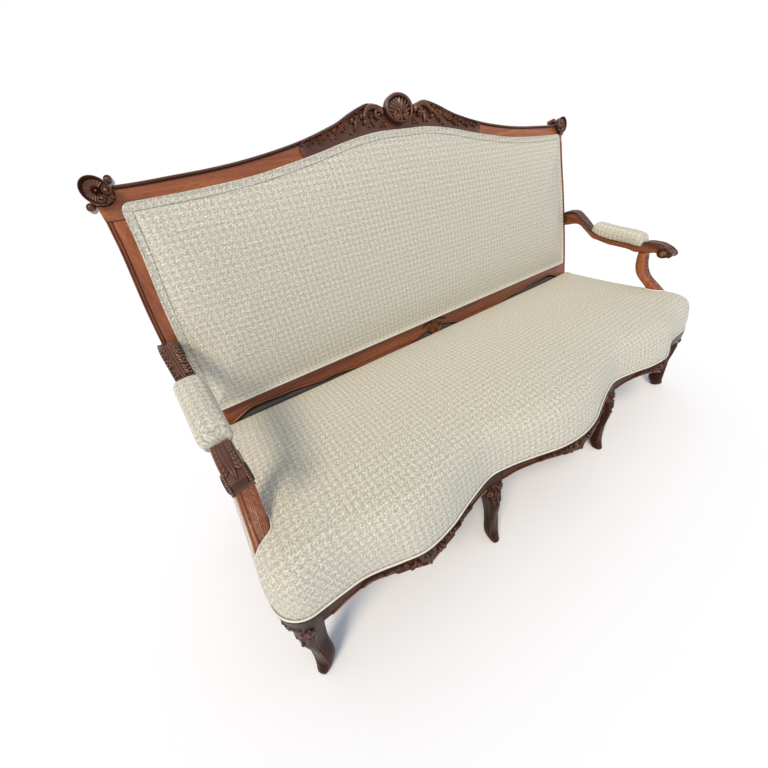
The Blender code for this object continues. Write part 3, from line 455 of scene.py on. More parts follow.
def blend(tree, share, under, over, kind="MIX"):
    under, over = (hexColour(c) if isinstance(c, str) else c for c in (under, over))
    return add(tree, "Mix", {0: share, 6: under, 7: over}, data_type="RGBA", blend_type=kind).outputs[2]


def mathsIn(tree):  # gives the tree's maths nodes by operation and by what feeds them
    def maths(operation, a, b=0.0):
        return add(tree, "Math", {0: a, 1: b}, operation=operation).outputs[0]
    return maths


def noiseAt(tree, vector, scale, detail, **more):
    return add(tree, "TexNoise", {"Vector": vector, "Scale": scale, "Detail": detail, **more}).outputs[0]


def polish(tree, shader, height, strength, distance, sockets):  # bump, and the shader's own sockets
    bump = add(tree, "Bump", {"Height": height, "Strength": strength, "Distance": distance})
    for socket, value in {"Normal": bump.outputs[0], **sockets}.items():
        feed(tree, shader.inputs[socket], value)


def newMaterial(name):
    material = bpy.data.materials.new(name)
    material.use_nodes = True
    tree = material.node_tree
    return material, tree, tree.nodes["Principled BSDF"]


def ramp(tree, factor, stops):
    made = add(tree, "ValToRGB", {0: factor})
    elements = made.color_ramp.elements
    while len(elements) < len(stops):
        elements.new(0.5)
    for element, (at, colour) in zip(elements, stops):
        element.position = at
        element.color = hexColour(colour) if isinstance(colour, str) else (colour, colour, colour, 1)
    return made.outputs[0]


# French-polished walnut: long streaky figure, fine open pores, a clear coat, wax and painted shade darker in the
# hollows, wear and painted highlight lighter on the tops
woodLook = {
    "grainMm": 11.0, "poreMm": 0.5, "light": "#bd7040", "middle": "#a0572f", "dark": "#7c3f24", "pore": "#4b2413",
    "waxAndShade": "#1b0c0a", "wearAndHighlight": "#b98a6c", "stainAndShade": "#25110d", "roughness": 0.32, "coat": 0.16, "coatRoughness": 0.14,
    "specular": 0.42, "carvedCoat": 0.42,
}


def makeWood(name, grainAxis, depth=1.0, carved=False, shine=1.0):
    material, tree, shader = newMaterial(name)
    coords = add(tree, "TexCoord").outputs["Object"]

    def along(across, share):  # coordinates stretched along the grain
        scale = [across] * 3
        scale[grainAxis] = across * share
        return add(tree, "Mapping", {"Vector": coords, "Scale": tuple(scale)}).outputs[0]

    figure = noiseAt(tree, along(1000 / woodLook["grainMm"], 0.06), 0.55, 5.0, Roughness=0.62, Distortion=0.9)
    pores = noiseAt(tree, along(1000 / woodLook["poreMm"], 0.07), 0.5, 2.0)
    blotch = noiseAt(tree, coords, 7.0, 2.0)
    colour = ramp(tree, figure, [(0.3, woodLook["dark"]), (0.5, woodLook["middle"]), (0.72, woodLook["light"])])
    poreMask = ramp(tree, pores, [(0.36, 0.0), (0.46, 1.0)])
    colour = blend(tree, mapped(tree, poreMask, 0.45, 0.0), colour, woodLook["pore"])
    colour = blend(tree, 1.0, colour, mapped(tree, blotch, 0.82 * depth, 1.16 * depth), "MULTIPLY")
    tone = add(tree, "Attribute", attribute_name="tone").outputs["Fac"]
    if carved:  # wax and painted shade lie in the hollows; the tops are lighter, partly rubbed by hands, partly painted highlight
        colour = blend(tree, mapped(tree, tone, 0.95, 0.0, 0.0, 0.75), colour, woodLook["waxAndShade"])
        colour = blend(tree, mapped(tree, tone, 0.0, 0.5, 0.92, 1.0), colour, woodLook["wearAndHighlight"])
    else:  # more stain on the ground between carvings and in joints; painted shade in quirks, at the foot of each bead and on rolls
        colour = blend(tree, mapped(tree, tone, 0.0, 0.95), colour, woodLook["stainAndShade"])
    polish(tree, shader, poreMask, 0.12, 0.0004, {
        "Base Color": colour,
        "Roughness": mapped(tree, blotch, woodLook["roughness"] - 0.06, woodLook["roughness"] + 0.12),
        "Specular IOR Level": woodLook["specular"] * shine,
        "Coat Weight": woodLook["carvedCoat" if carved else "coat"] * shine,
        "Coat Roughness": woodLook["coatRoughness"]})
    return material


# Cream wool cloth woven in a houndstooth check: four light and four dark yarns each way, in a 2/2 twill
clothLook = {
    "repeatMm": 17.3, "yarnsInRepeat": 8, "light": "#f9f4e0", "dark": "#e3dcc6", "roughness": 0.92,
    "sheen": 0.15, "wander": 0.0010, "loopMm": 4.8,
}


def makeCheckCloth(name):
    material, tree, shader = newMaterial(name)
    maths = mathsIn(tree)
    yarn = 1000 * clothLook["yarnsInRepeat"] / clothLook["repeatMm"]
    flat = add(tree, "UVMap", uv_map="cloth").outputs[0]
    drift = add(tree, "TexNoise", {"Vector": flat, "Scale": 320.0, "Detail": 1.0}).outputs["Color"]
    centred = add(tree, "VectorMath", {0: drift, 1: (0.5, 0.5, 0.5)}, operation="SUBTRACT").outputs[0]
    nudge = add(tree, "VectorMath", {0: centred, 3: clothLook["wander"] * 4}, operation="SCALE").outputs[0]
    moved = add(tree, "VectorMath", {0: flat, 1: nudge}, operation="ADD").outputs[0]
    split = add(tree, "SeparateXYZ", {0: moved})
    warpAt, weftAt = (maths("MULTIPLY", split.outputs[k], yarn) for k in (0, 1))
    warp, weft = maths("FLOOR", warpAt), maths("FLOOR", weftAt)
    repeat = clothLook["yarnsInRepeat"]

    def inFirstHalf(value, period):
        return maths("LESS_THAN", maths("FLOORED_MODULO", value, period), period / 2)

    def roundOf(at):  # the round of one yarn
        return maths("SINE", maths("MULTIPLY", maths("FRACT", at), math.pi))

    over = inFirstHalf(maths("SUBTRACT", warp, weft), repeat / 2)
    darkMix = add(tree, "Mix", {0: over, 2: inFirstHalf(weft, repeat), 3: inFirstHalf(warp, repeat)}).outputs[0]
    yarnHeight = add(tree, "Mix", {0: over, 2: roundOf(weftAt), 3: roundOf(warpAt)}).outputs[0]
    fuzz = noiseAt(tree, flat, 1500.0, 2.0)
    # the loops of the wool are drawn a little coarser than they are, so that they still show from the camera
    loops = noiseAt(tree, flat, 1000 / clothLook["loopMm"], 2.0, Roughness=0.7)
    # painted shade and highlight: the round of each yarn and the wool's loops darken and lighten the colour as their
    # relief would under light
    shade = maths("ADD", mapped(tree, yarnHeight, 0.84, 1.0), mapped(tree, fuzz, -0.06, 0.04, 0.3, 0.7))
    shade = maths("MULTIPLY", shade, mapped(tree, loops, 0.62, 1.18, 0.34, 0.66))
    shade = maths("MULTIPLY", shade, mapped(tree, noiseAt(tree, flat, 90.0, 3.0), 0.95, 1.04, 0.3, 0.7))
    colour = blend(tree, darkMix, clothLook["light"], clothLook["dark"])
    height = maths("ADD", maths("ADD", yarnHeight, maths("MULTIPLY", fuzz, 0.35)), maths("MULTIPLY", loops, 1.6))
    polish(tree, shader, height, 0.6, 0.0008, {
        "Base Color": blend(tree, 1.0, colour, shade, "MULTIPLY"), "Roughness": clothLook["roughness"],
        "Sheen Weight": clothLook["sheen"], "Specular IOR Level": 0.2})
    return material


def makePlainWeave(name, light, dark, threadMm):  # any plain one-up one-down weave
    material, tree, shader = newMaterial(name)
    coords = add(tree, "TexCoord").outputs["Object"]
    wave = {"Vector": coords, "Scale": 1000 / threadMm / 6.283, "Distortion": 0.6, "Detail": 1.0}
    a, b, c = (add(tree, "TexWave", wave, bands_direction=axis).outputs["Fac"] for axis in "XYZ")
    maths = mathsIn(tree)
    total = maths("ADD", maths("MULTIPLY", a, b), c)
    blotched = add(tree, "Math", {0: total, 1: noiseAt(tree, coords, 40.0, 3.0), 2: 0.0}, operation="MULTIPLY_ADD")
    polish(tree, shader, total, 0.5, 0.0006, {
        "Base Color": ramp(tree, blotched.outputs[0], [(0.1, dark), (0.7, light)]), "Roughness": 0.95})
    return material


def makeSawnTimber(name):  # sawn beech left raw: pale, with saw marks across the length
    material, tree, shader = newMaterial(name)
    coords = add(tree, "TexCoord").outputs["Object"]
    grain = add(tree, "Mapping", {"Vector": coords, "Scale": (8.0, 60.0, 160.0)}).outputs[0]
    saw = add(tree, "TexWave", {"Vector": coords, "Scale": 90.0, "Distortion": 1.5}).outputs["Fac"]
    polish(tree, shader, saw, 0.25, 0.0005, {
        "Base Color": ramp(tree, noiseAt(tree, grain, 1.0, 4.0), [(0.3, "#9c7b55"), (0.7, "#c9a97c")]),
        "Roughness": 0.8})
    return material


def makeSpringSteel(name):  # drawn steel wire, copper-brown with age
    material, tree, shader = newMaterial(name)
    rust = noiseAt(tree, add(tree, "TexCoord").outputs["Object"], 120.0, 4.0)
    feed(tree, shader.inputs["Base Color"], ramp(tree, rust, [(0.4, "#8f8a84"), (0.65, "#6b4a35")]))
    shader.inputs["Metallic"].default_value = 0.9
    shader.inputs["Roughness"].default_value = 0.42
    return material


polishX = makeWood("polishedWalnutAcross", 0)
polishY = makeWood("polishedWalnutForward", 1)
polishZ = makeWood("polishedWalnutUpright", 2)
# legs, front rails and their carving: darker stain, with painted shade that keeps their colour as dark as they are in
# shade
deepX = makeWood("stainedAndShadedWalnutAcross", 0, 0.20, shine=0.2)
deepZ = makeWood("stainedWalnutUpright", 2, 0.12, shine=0.15)
carvedX = makeWood("carvedWalnutAcross", 0, 0.40, carved=True)
carvedY = makeWood("carvedWalnutForward", 1, 0.30, carved=True, shine=0.7)
carvedZ = makeWood("carvedWalnutUpright", 2, 0.72, carved=True)
carvedDeep = makeWood("stainedAndShadedCarvedWalnut", 2, 0.20, carved=True, shine=0.5)
# lighter wood for the rail's edge bead: a painted highlight
edgePaintedHighlight = makeWood("walnutEdgePaintedHighlight", 0, 0.62, carved=True, shine=0.8)
checkCloth = makeCheckCloth("woolHoundstooth")
gimpCloth = makePlainWeave("creamGimpBraid", "#faf8f0", "#dcd7c9", 1.1)
hessianCloth = makePlainWeave("juteHessian", "#a88a5e", "#5e4628", 2.2)
webCloth = makePlainWeave("juteWebbing", "#8f7347", "#4c3a22", 1.6)
bottomCloth = makePlainWeave("blackBottomCloth", "#2a2a2b", "#0e0e0f", 1.4)
# dark grey lining: painted shade for the gap under the back's lower rail
shadeGreyLining = makePlainWeave("liningCottonPaintedShade", "#6a6860", "#4b4943", 1.2)
sawnTimber = makeSawnTimber("sawnBeech")
springSteel = makeSpringSteel("drawnSpringSteel")
print("finishes ready")


# Upholstery

hemShare, closedShare = 0.9, 0.965  # how far a cover's first and last ring are drawn in to its core

def clothMap(ob, flatPoint):  # the cloth's own map, in metres along warp and weft
    layer = ob.data.uv_layers.new(name="cloth")
    verts = ob.data.vertices
    flat = [flatPoint(v.co) for v in verts]
    for loop in ob.data.loops:
        layer.data[loop.index].uv = flat[loop.vertex_index]


def placesOf(verts):
    flat = np.zeros(len(verts) * 3)
    verts.foreach_get("co", flat)
    return flat.reshape(-1, 3)


def settle(ob, held, pressure, cap, evened=0.05, stiffness=18.0, frames=20):
    # blows the cover out against its tacked edge, so that it draws tight as stuffed cloth does
    mesh, scene = ob.data, bpy.context.scene
    group = ob.vertex_groups.new(name="tacked")
    group.add(held, 1.0, "REPLACE")
    cloth = ob.modifiers.new("settle", "CLOTH")
    for key, value in {
            "quality": 4, "mass": 0.3, "tension_stiffness": stiffness, "compression_stiffness": stiffness,
            "shear_stiffness": stiffness / 3, "bending_stiffness": 0.8, "vertex_group_mass": "tacked",
            "use_pressure": True, "uniform_pressure_force": pressure}.items():
        setattr(cloth.settings, key, value)
    cloth.settings.effector_weights.gravity = 0
    cloth.collision_settings.use_collision = False
    cloth.point_cache.frame_start = 1
    cloth.point_cache.frame_end = frames
    before = placesOf(mesh.vertices)
    for step in range(1, frames + 1):
        scene.frame_set(step)
    moved = placesOf(ob.evaluated_get(bpy.context.evaluated_depsgraph_get()).data.vertices) - before
    length = np.linalg.norm(moved, axis=1)
    share = np.where(length > cap, cap / np.maximum(length, 1e-9), 1)
    moved = np.where(np.isfinite(length)[:, None], moved * share[:, None], 0)
    # the swell is evened out by place, so that the fine mesh where the rings close leaves no crease
    tacked = np.zeros(len(before), bool)
    tacked[held] = True
    pairs = np.array([tuple(e.vertices) for e in mesh.edges])
    rim = pairs[tacked[pairs[:, 0]] != tacked[pairs[:, 1]]].ravel()
    rim = before[np.unique(rim[tacked[rim]])[::2]]
    cells, cell = np.unique(np.round(before[~tacked] / (evened * 0.4)).astype(int), axis=0, return_inverse=True)
    cell = cell.ravel()
    many = np.bincount(cell)[:, None]
    middles, swell = np.zeros((len(cells), 3)), np.zeros((len(cells), 3))
    np.add.at(middles, cell, before[~tacked])
    np.add.at(swell, cell, moved[~tacked])
    middles, swell = middles / many, swell / many
    for start in range(0, len(before), 1000):
        part = slice(start, start + 1000)
        far = ((before[part, None] - middles[None]) ** 2).sum(2)
        weight = np.exp(-far / (2 * evened ** 2))
        inside = ((before[part, None] - rim[None]) ** 2).sum(2).min(1, initial=1.0)
        inside = np.clip(np.sqrt(inside) / (evened * 0.8), 0, 1)[:, None]
        moved[part] = inside * inside * (3 - 2 * inside) * (weight @ swell / weight.sum(1)[:, None])
    moved[held] = 0
    ob.modifiers.remove(cloth)
    ob.vertex_groups.remove(group)
    mesh.vertices.foreach_set("co", (before + moved).ravel())
    mesh.update()
    scene.frame_set(1)
    print(f"settled {ob.name}: {length.mean() * 1000:.1f} mm mean, {length.max() * 1000:.1f} mm most")


seatShape = {
    "edgeRoll": 0.065, "rearShare": 0.45, "skirt": 0.016, "coreOut": 0.66, "coreForward": 0.48,
    "undulation": 0.0012, "pressure": 2.0, "cap": 0.006,
}
seatEdgeTable = ((0.0, 0.0), (0.03, 0.19), (0.08, 0.47), (0.18, 0.68), (0.4, 0.845), (0.67, 0.92), (1.0, 0.955))
seatTopTable = ((0.0, 0.955), (0.4, 0.985), (0.75, 1.0), (1.0, 1.0))


def seatSideAt(y):
    share = max((y - cornerY) / (-cornerY), 0)
    return lines["seatFrontSide"] + (lines["seatSide"] - lines["seatFrontSide"]) * min(share, 1)


def seatEdgeHalf():  # the visible edge, front middle to rear corner
    half = [(x, seatLine(x)) for x in evenly(0, seatStraight, 150)]
    for angle in evenly(0, math.pi / 2, 24)[1:]:
        half.append((seatStraight + lines["seatCornerAcross"] * math.sin(angle),
                     cornerY - lines["seatCornerAlong"] * math.cos(angle)))
    half += [(seatSideAt(y), y) for y in evenly(cornerY, -0.0, 70)[1:]]
    return half


def seatOutline():
    half = seatEdgeHalf()
    rear = 0.0177
    half += [(lines["seatSide"] - 0.018 + 0.018 * math.cos(a), -0.0003 + 0.018 * math.sin(a))
             for a in evenly(0, math.pi / 2, 6)[1:]]
    half += [(x, rear) for x in evenly(lines["seatSide"] - 0.018, 0, 150)[1:]]
    return bothSides(half, 340)


def makeSeat():
    outline = seatOutline()
    core = coreOf(outline, lines["seatSide"] * seatShape["coreOut"], -lines["seatFront"] * seatShape["coreForward"])
    away = core - outline
    reach = np.linalg.norm(away, axis=1)
    rise = lines["seatCrown"] - lines["frontLow"]
    rearness = np.clip((outline[:, 1] + 0.005) / 0.02, 0, 1)
    roll = seatShape["edgeRoll"] * (1 - (1 - seatShape["rearShare"]) * rearness)
    inner = outline + away / reach[:, None] * seatShape["skirt"]
    low = lines["railTop"] + 0.0005
    rings = [[(x, y, z) for x, y in line]
             for line, z in ((outline + away * hemShare, low), (inner, low), (inner, lines["frontLow"]))]
    for across, height in smoothLine(seatEdgeTable, 22):
        at = outline + away / reach[:, None] * (roll * across)[:, None]
        rings.append([(x, y, lines["frontLow"] + rise * height) for x, y in at])
    first = roll / reach
    for share in evenly(0, 1, 30)[1:]:
        part = first + (closedShare - first) * share ** 0.9
        at = outline + away * part[:, None]
        height = [curveAt(seatTopTable, (p - f) / (1 - f)) for p, f in zip(part, first)]
        rings.append([(x, y, lines["frontLow"] + rise * h) for (x, y), h in zip(at, height)])
    ob = coverOf("seatCover", [[place(*p) for p in ring] for ring in rings])
    held = [v.index for v in ob.data.vertices if v.co.z < lines["frontLow"] + 0.004
            or (v.co.z < lines["railTop"] + 0.001 and abs(v.co.x) < 1)
            or v.co.y > lines["backLineY"] + 0.004]
    settle(ob, held, seatShape["pressure"], seatShape["cap"])
    for v in ob.data.vertices:
        if v.co.z > lines["railTop"] + 0.03:
            v.co.z += noise.noise(Vector((v.co.x * 5, v.co.y * 6, 3))) * seatShape["undulation"]
    return ob


def seatFlat(co):  # cloth map of the seat: the plan, carried on down the walls
    x, y = co.x, co.y - lines["backLineY"]
    drop = max(lines["seatCrown"] - 0.012 - co.z, 0)
    limit = lines["seatSide"] * seatShape["coreOut"]
    away = Vector((x - max(-limit, min(limit, x)), y + lines["seatFront"] * seatShape["coreForward"]))
    if away.length > 0.01:
        away.normalize()
    return (x + away.x * drop * 0.9, y + away.y * drop * 0.9)


print("seat")
seatCover = makeSeat()

# Arm posts: swept forward down to the side rails, their faces carved with a long leaf
armShape = {
    "rootY": 0.060, "reach": 0.500, "low": 0.5775, "rise": 0.150, "thick": 0.040, "frontOut": 0.829,
    "postHalf": 0.0215, "postSweep": 0.138, "postDepth": 0.047, "postLean": 0.017, "panelGap": 0.003,
    "postTall": 0.234,
}
postTable = (  # drop, sweep, depth, lean
    (0.0, 0.0, 0.66, 0.0), (0.1, 0.01, 0.7, 0.05), (0.25, 0.06, 0.78, 0.2), (0.4, 0.19, 0.86, 0.4),
    (0.55, 0.45, 0.98, 0.65), (0.68, 0.68, 1.1, 0.85), (0.84, 0.9, 1.05, 0.95), (1.0, 1.0, 1.0, 1.0))
armMarks = {"foot": 0.629, "under": 0.068}  # where the arm leaves the stile, and its flat underside


def armLevel(share):  # height on the arm's side, as a share of its rise
    return armShape["low"] + armShape["rise"] * share


rootLevel = armLevel(armMarks["foot"])
rootOut = (panelEdge((rootLevel - lines["backFootZ"]) / math.cos(lines["rake"]))
           + armShape["panelGap"] + armShape["thick"] / 2)
armYaw = math.atan((rootOut - armShape["frontOut"]) / armShape["reach"])


postTop = armLevel(armMarks["under"]) - 0.0003
postFoot = lines["railTop"] + 0.0003
postMidTop = armShape["rootY"] - armShape["reach"] * (0.834 + 0.722) / 2
postOutTop = rootOut - (armShape["rootY"] - postMidTop) * math.tan(armYaw)


def postPoint(drop, angle, grow=0.0, power=3.4):
    level = postTop - (postTop - postFoot) * drop
    middle = postMidTop - armShape["postSweep"] * curveAt(column(postTable, 1), drop)
    out = postOutTop + armShape["postLean"] * curveAt(column(postTable, 3), drop)
    across = armShape["postHalf"] + grow
    along = armShape["postDepth"] * curveAt(column(postTable, 2), drop) / 2 + grow
    c, s = math.cos(angle), math.sin(angle)
    radius = (abs(c / across) ** power + abs(s / along) ** power) ** (-1 / power)
    return place(out + radius * c, middle + radius * s, level)


def postRings(grow, first=0.0, last=1.0, count=60, sides=40):
    return [[postPoint(d, a, grow) for a in around(sides)] for d in evenly(first, last, count)]


def cutWith(ob, tools):
    for tool in tools:
        modifier = ob.modifiers.new("cut", "BOOLEAN")
        modifier.operation = "DIFFERENCE"
        modifier.solver = "EXACT"
        modifier.object = tool
    shown = ob.evaluated_get(bpy.context.evaluated_depsgraph_get())
    mesh = bpy.data.meshes.new_from_object(shown)
    ob.modifiers.clear()
    ob.data = mesh
    for tool in tools:
        bpy.data.objects.remove(tool, do_unlink=True)


seatTree = BVHTree.FromObject(seatCover, bpy.context.evaluated_depsgraph_get())


def seatLevel(x, y):
    hit = seatTree.ray_cast(Vector((x, y, 1.0)), Vector((0, 0, -1)))
    return hit[0].z if hit[0] else lines["frontLow"]


def postTrimPath(grow):  # where the cloth meets the post, all the way round
    path = []
    for angle in around(56):
        for drop in evenly(0.3, 1.0, 140):
            p = postPoint(drop, angle, grow)
            if p.z <= seatLevel(p.x, p.y):
                path.append(p)
                break
    return path


postTrim = postTrimPath(0.0035)
notchRight = skinRings("notchRight", postRings(0.0012, 0.25, 1.15, 50))
notchLeft = mirrorOf(notchRight, "notchLeft")
bpy.context.view_layer.update()
cutWith(seatCover, [notchRight, notchLeft])
clothMap(seatCover, seatFlat)
dress(seatCover, checkCloth, ["seat_upholstery"])

lowerRailShape = {"drop": 0.061, "bead": 0.004, "beadTall": 0.010}
lowerDropTable = (
    (0.0, 1.12), (0.02, 1.08), (0.045, 0.76), (0.1, 0.86), (0.15, 1.05), (0.3, 1.07), (0.46, 1.04), (0.55, 0.9),
    (0.64, 0.88), (0.72, 0.73), (0.8, 0.68), (0.87, 0.62), (0.91, 0.62), (0.95, 0.8), (0.985, 1.0), (1.0, 1.0))
lowerEnd = panelEdge(lines["frameLip"]) - lines["frameLip"] - 0.0004
tuckShape = {"side": 0.862, "front": 0.0190, "rear": 0.0565, "top": 0.4425, "clear": 0.0035, "edge": 0.010}


def makeTuck():
    # lining drawn from the seat back over the rear rail, low enough to pass under the back's lower rail
    rings = []
    for x in evenly(-tuckShape["side"], tuckShape["side"], 160):
        near = max(1 - (tuckShape["side"] - abs(x)) / 0.02, 0)
        edge = -lowerRailShape["drop"] * curveAt(lowerDropTable, min(abs(x) / lowerEnd, 1))
        top = min(tuckShape["top"], onBack(x, edge).z - tuckShape["clear"]) - 0.012 * near ** 2
        foot, r = lines["railTop"] + 0.0005, tuckShape["edge"]
        ring = [(tuckShape["front"], foot), (tuckShape["front"], (foot + top) / 2), (tuckShape["front"], top - r)]
        ring += [(tuckShape["front"] + r - r * math.cos(a), top - r + r * math.sin(a))
                 for a in evenly(0, math.pi / 2, 5)[1:]]
        ring += [(tuckShape["rear"] - r + r * math.sin(a), top - r + r * math.cos(a))
                 for a in evenly(0, math.pi / 2, 5)]
        ring += [(tuckShape["rear"], (foot + top) / 2), (tuckShape["rear"], foot)]
        rings.append([place(x, y, z) for y, z in ring])
    return skinRings("seatRearTuck", rings)


seatTuck = makeTuck()
clothMap(seatTuck, lambda co: (co.x, co.y + co.z))
# its dark grey is painted shade, standing for the shade under the back's lower rail
dress(seatTuck, shadeGreyLining)

print("gimp braid")
gimpShape = {"radius": 0.0035, "spacing": 0.0042, "ribLong": 0.0034, "ribRadius": 0.0014, "slant": 35.0}


def growTree(name, inputs):  # a geometry tree with named inputs, and what those inputs give
    tree = bpy.data.node_groups.new(name, "GeometryNodeTree")
    face = tree.interface
    for label, kind in {"Geometry": "Geometry", **inputs}.items():
        face.new_socket(label, in_out="INPUT", socket_type="NodeSocket" + kind)
    face.new_socket("Geometry", in_out="OUTPUT", socket_type="NodeSocketGeometry")
    return tree, tree.nodes.new("NodeGroupInput").outputs


def endTree(tree, spread, material):
    real = add(tree, "GeometryNodeRealizeInstances", {0: spread})
    paint = add(tree, "GeometryNodeSetMaterial", {"Geometry": real.outputs[0], "Material": material})
    add(tree, "NodeGroupOutput", {0: paint.outputs[0]})
    return tree


def braidTree(material):  # slanted ribs set along a line
    floats = ("Spacing", "Rib Long", "Rib Radius", "Slant", "Row Offset")
    tree, given = growTree("braidRibs", dict.fromkeys(floats, "Float"))
    points = add(tree, "GeometryNodeCurveToPoints", {"Curve": given["Geometry"], "Length": given["Spacing"]},
                 mode="LENGTH")
    rib = add(tree, "GeometryNodeMeshIcoSphere", {"Subdivisions": 2, "Radius": 1.0})
    size = add(tree, "CombineXYZ", {0: given["Rib Radius"], 1: given["Rib Radius"], 2: given["Rib Long"]})
    spin = add(tree, "CombineXYZ", {0: given["Slant"]})
    toEuler = add(tree, "FunctionNodeEulerToRotation", {0: spin.outputs[0]})
    turn = add(tree, "FunctionNodeRotateRotation", {0: points.outputs["Rotation"], 1: toEuler.outputs[0]},
               rotation_space="LOCAL")
    spread = add(tree, "GeometryNodeInstanceOnPoints", {
        "Points": points.outputs["Points"], "Instance": rib.outputs["Mesh"], "Rotation": turn.outputs[0],
        "Scale": size.outputs[0]})
    lift = add(tree, "CombineXYZ", {2: given["Row Offset"]})
    shift = add(tree, "GeometryNodeTranslateInstances", {
        "Instances": spread.outputs[0], "Translation": lift.outputs[0], "Local Space": False})
    return endTree(tree, shift.outputs[0], material)


def curveThrough(name, path, closed=False):
    data = bpy.data.curves.new(name, "CURVE")
    data.dimensions = "3D"
    data.twist_mode = "Z_UP"
    spline = data.splines.new("POLY")
    spline.points.add(len(path) - 1)
    for point, p in zip(spline.points, path):
        point.co = (*p, 1)
    spline.use_cyclic_u = closed
    return objectOf(name, data)


def grown(name, base, tree, values):  # runs a tree on an object and keeps the plain mesh
    modifier = base.modifiers.new("grow", "NODES")
    modifier.node_group = tree
    sockets = {i.name: i.identifier for i in tree.interface.items_tree if i.in_out == "INPUT"}
    for label, value in values.items():
        modifier[sockets[label]] = value
    bpy.context.view_layer.update()
    shown = base.evaluated_get(bpy.context.evaluated_depsgraph_get())
    mesh = bpy.data.meshes.new_from_object(shown, depsgraph=bpy.context.evaluated_depsgraph_get())
    bpy.data.objects.remove(base, do_unlink=True)
    return objectOf(name, mesh)


ribs = braidTree(gimpCloth)


def gimpAlong(name, path, closed=False):
    core = tubeAlong(name + "Core", path, gimpShape["radius"] * 0.82, 10, closed, flat=0.75)
    rows = []
    for side, slant in ((0.42, gimpShape["slant"]), (-0.42, -gimpShape["slant"])):
        line = curveThrough(name + "Line", path, closed)
        rows.append(grown(name + "Row", line, ribs, {
            "Spacing": gimpShape["spacing"], "Rib Long": gimpShape["ribLong"] * 0.62,
            "Rib Radius": gimpShape["ribRadius"], "Slant": math.radians(slant),
            "Row Offset": gimpShape["radius"] * side}))
    return joined(name, [core] + rows)


def outwardOf(run, distance, level):  # a run of plan points moved out, at one level
    pts = np.array(run)
    tangent = np.gradient(pts, axis=0)
    tangent /= np.linalg.norm(tangent, axis=1)[:, None]
    return [place(x + ty * distance, y - tx * distance, level) for (x, y), (tx, ty) in zip(pts, tangent)]


edgeHalf = seatEdgeHalf()
edgeRun = [(-x, y) for x, y in reversed(edgeHalf)] + edgeHalf[1:]
gimpPath = outwardOf(resample(edgeRun, 520), gimpShape["radius"] * 0.75, lines["frontLow"] + gimpShape["radius"])
seatGimp = gimpAlong("seatGimp", gimpPath)
dress(seatGimp, gimpCloth, ["seat_gimp"], sharp=60)
for side, hand in ((1, "Right"), (-1, "Left")):
    loop = [Vector((side * p.x, p.y, p.z + 0.001)) for p in postTrim]
    trim = gimpAlong("postGimp" + hand, loop, closed=True)
    dress(trim, gimpCloth, sharp=60)

print("back panel")
backShape = {"border": 0.020, "borderThick": 0.018, "crown": 0.026, "crownReach": 0.120, "corner": 0.020,
             "coreOut": 0.78, "pressure": 1.6, "cap": 0.005, "bandStep": 0.0035, "stretch": 1.08}
backCrownTable = ((0.0, 0.0), (0.06, 0.1), (0.2, 0.36), (0.5, 0.70), (1.0, 0.93), (1.6, 1.0), (6.0, 1.08))


def panelOutline():
    r = backShape["corner"]
    foot = panelEdge(0) - r
    half = [(x, 0) for x in evenly(0, foot, 90)]
    half += [(foot + r * math.sin(a), r - r * math.cos(a)) for a in evenly(0, math.pi / 2, 8)[1:]]
    height = lines["panelHeight"]
    half += [(panelEdge(v), v) for v in evenly(r, height - r, 60)[1:]]
    top = panelEdge(height) - r
    half += [(top + r * math.cos(a), panelTop(top) - r + r * math.sin(a)) for a in evenly(0, math.pi / 2, 8)[1:]]
    half += [(x, panelTop(x)) for x in evenly(top, 0, 90)[1:]]
    return bothSides(half, 300)


def insetLoop(loop, distance):  # a closed loop drawn in along its own normals
    nxt, prv = np.roll(loop, -1, axis=0), np.roll(loop, 1, axis=0)
    tangent = nxt - prv
    tangent /= np.linalg.norm(tangent, axis=1)[:, None]
    return loop + np.stack([-tangent[:, 1], tangent[:, 0]], 1) * distance


def makeBackPanel():
    outline = panelOutline()
    core = coreOf(outline, lines["panelSide"] * backShape["coreOut"], lines["panelHeight"] * 0.5)
    inner = insetLoop(outline, backShape["border"])
    away = core - inner
    reach = np.linalg.norm(away, axis=1)
    thick, crown = backShape["borderThick"], backShape["crown"]
    base = thick - backShape["bandStep"]
    rings = [backRing(outline + (core - outline) * hemShare, 0.0005), backRing(outline, 0.0005),
             backRing(outline, base), backRing(insetLoop(outline, backShape["border"] - 0.001), base)]
    for step in (0.0, 0.03, 0.07, 0.13, 0.2, 0.3, 0.42, 0.56, 0.72, 0.9, 1.1, 1.35, 1.6):
        at = inner + away / reach[:, None] * np.minimum(backShape["crownReach"] * step, reach * 0.9)[:, None]
        rings.append(backRing(at, thick + crown * curveAt(backCrownTable, step)))
    first = np.minimum(backShape["crownReach"] * 1.6, reach * 0.9) / reach
    for share in evenly(0, 1, 10)[1:]:
        part = first + (closedShare - first) * share
        rings.append(backRing(inner + away * part[:, None], thick + crown * (1.0 + 0.08 * share)))
    return coverOf("backCover", rings), outline


def backLocal(co):  # across, up the slope, out from the frame's face
    y = co.y - lines["backLineY"] - lines["backFaceY"]
    z = co.z - lines["backFootZ"]
    c, s = math.cos(lines["rake"]), math.sin(lines["rake"])
    return co.x, y * s + z * c, -y * c + z * s


backCover, backOutline = makeBackPanel()
held = [v.index for v in backCover.data.vertices if backLocal(v.co)[2] < backShape["borderThick"] - 0.0005]
settle(backCover, held, backShape["pressure"], backShape["cap"])


def backFlat(co):  # the check runs on round the panel's own thin walls
    x, v, out = backLocal(co)
    wrap = max(backShape["borderThick"] - backShape["bandStep"] - out, 0)
    if abs(x) > panelEdge(max(v, 0)) - 0.004:
        x += math.copysign(wrap, x)
    else:
        v += math.copysign(wrap, v - 0.1)
    return x, v * backShape["stretch"]


clothMap(backCover, backFlat)
dress(backCover, checkCloth, ["back_upholstery"])


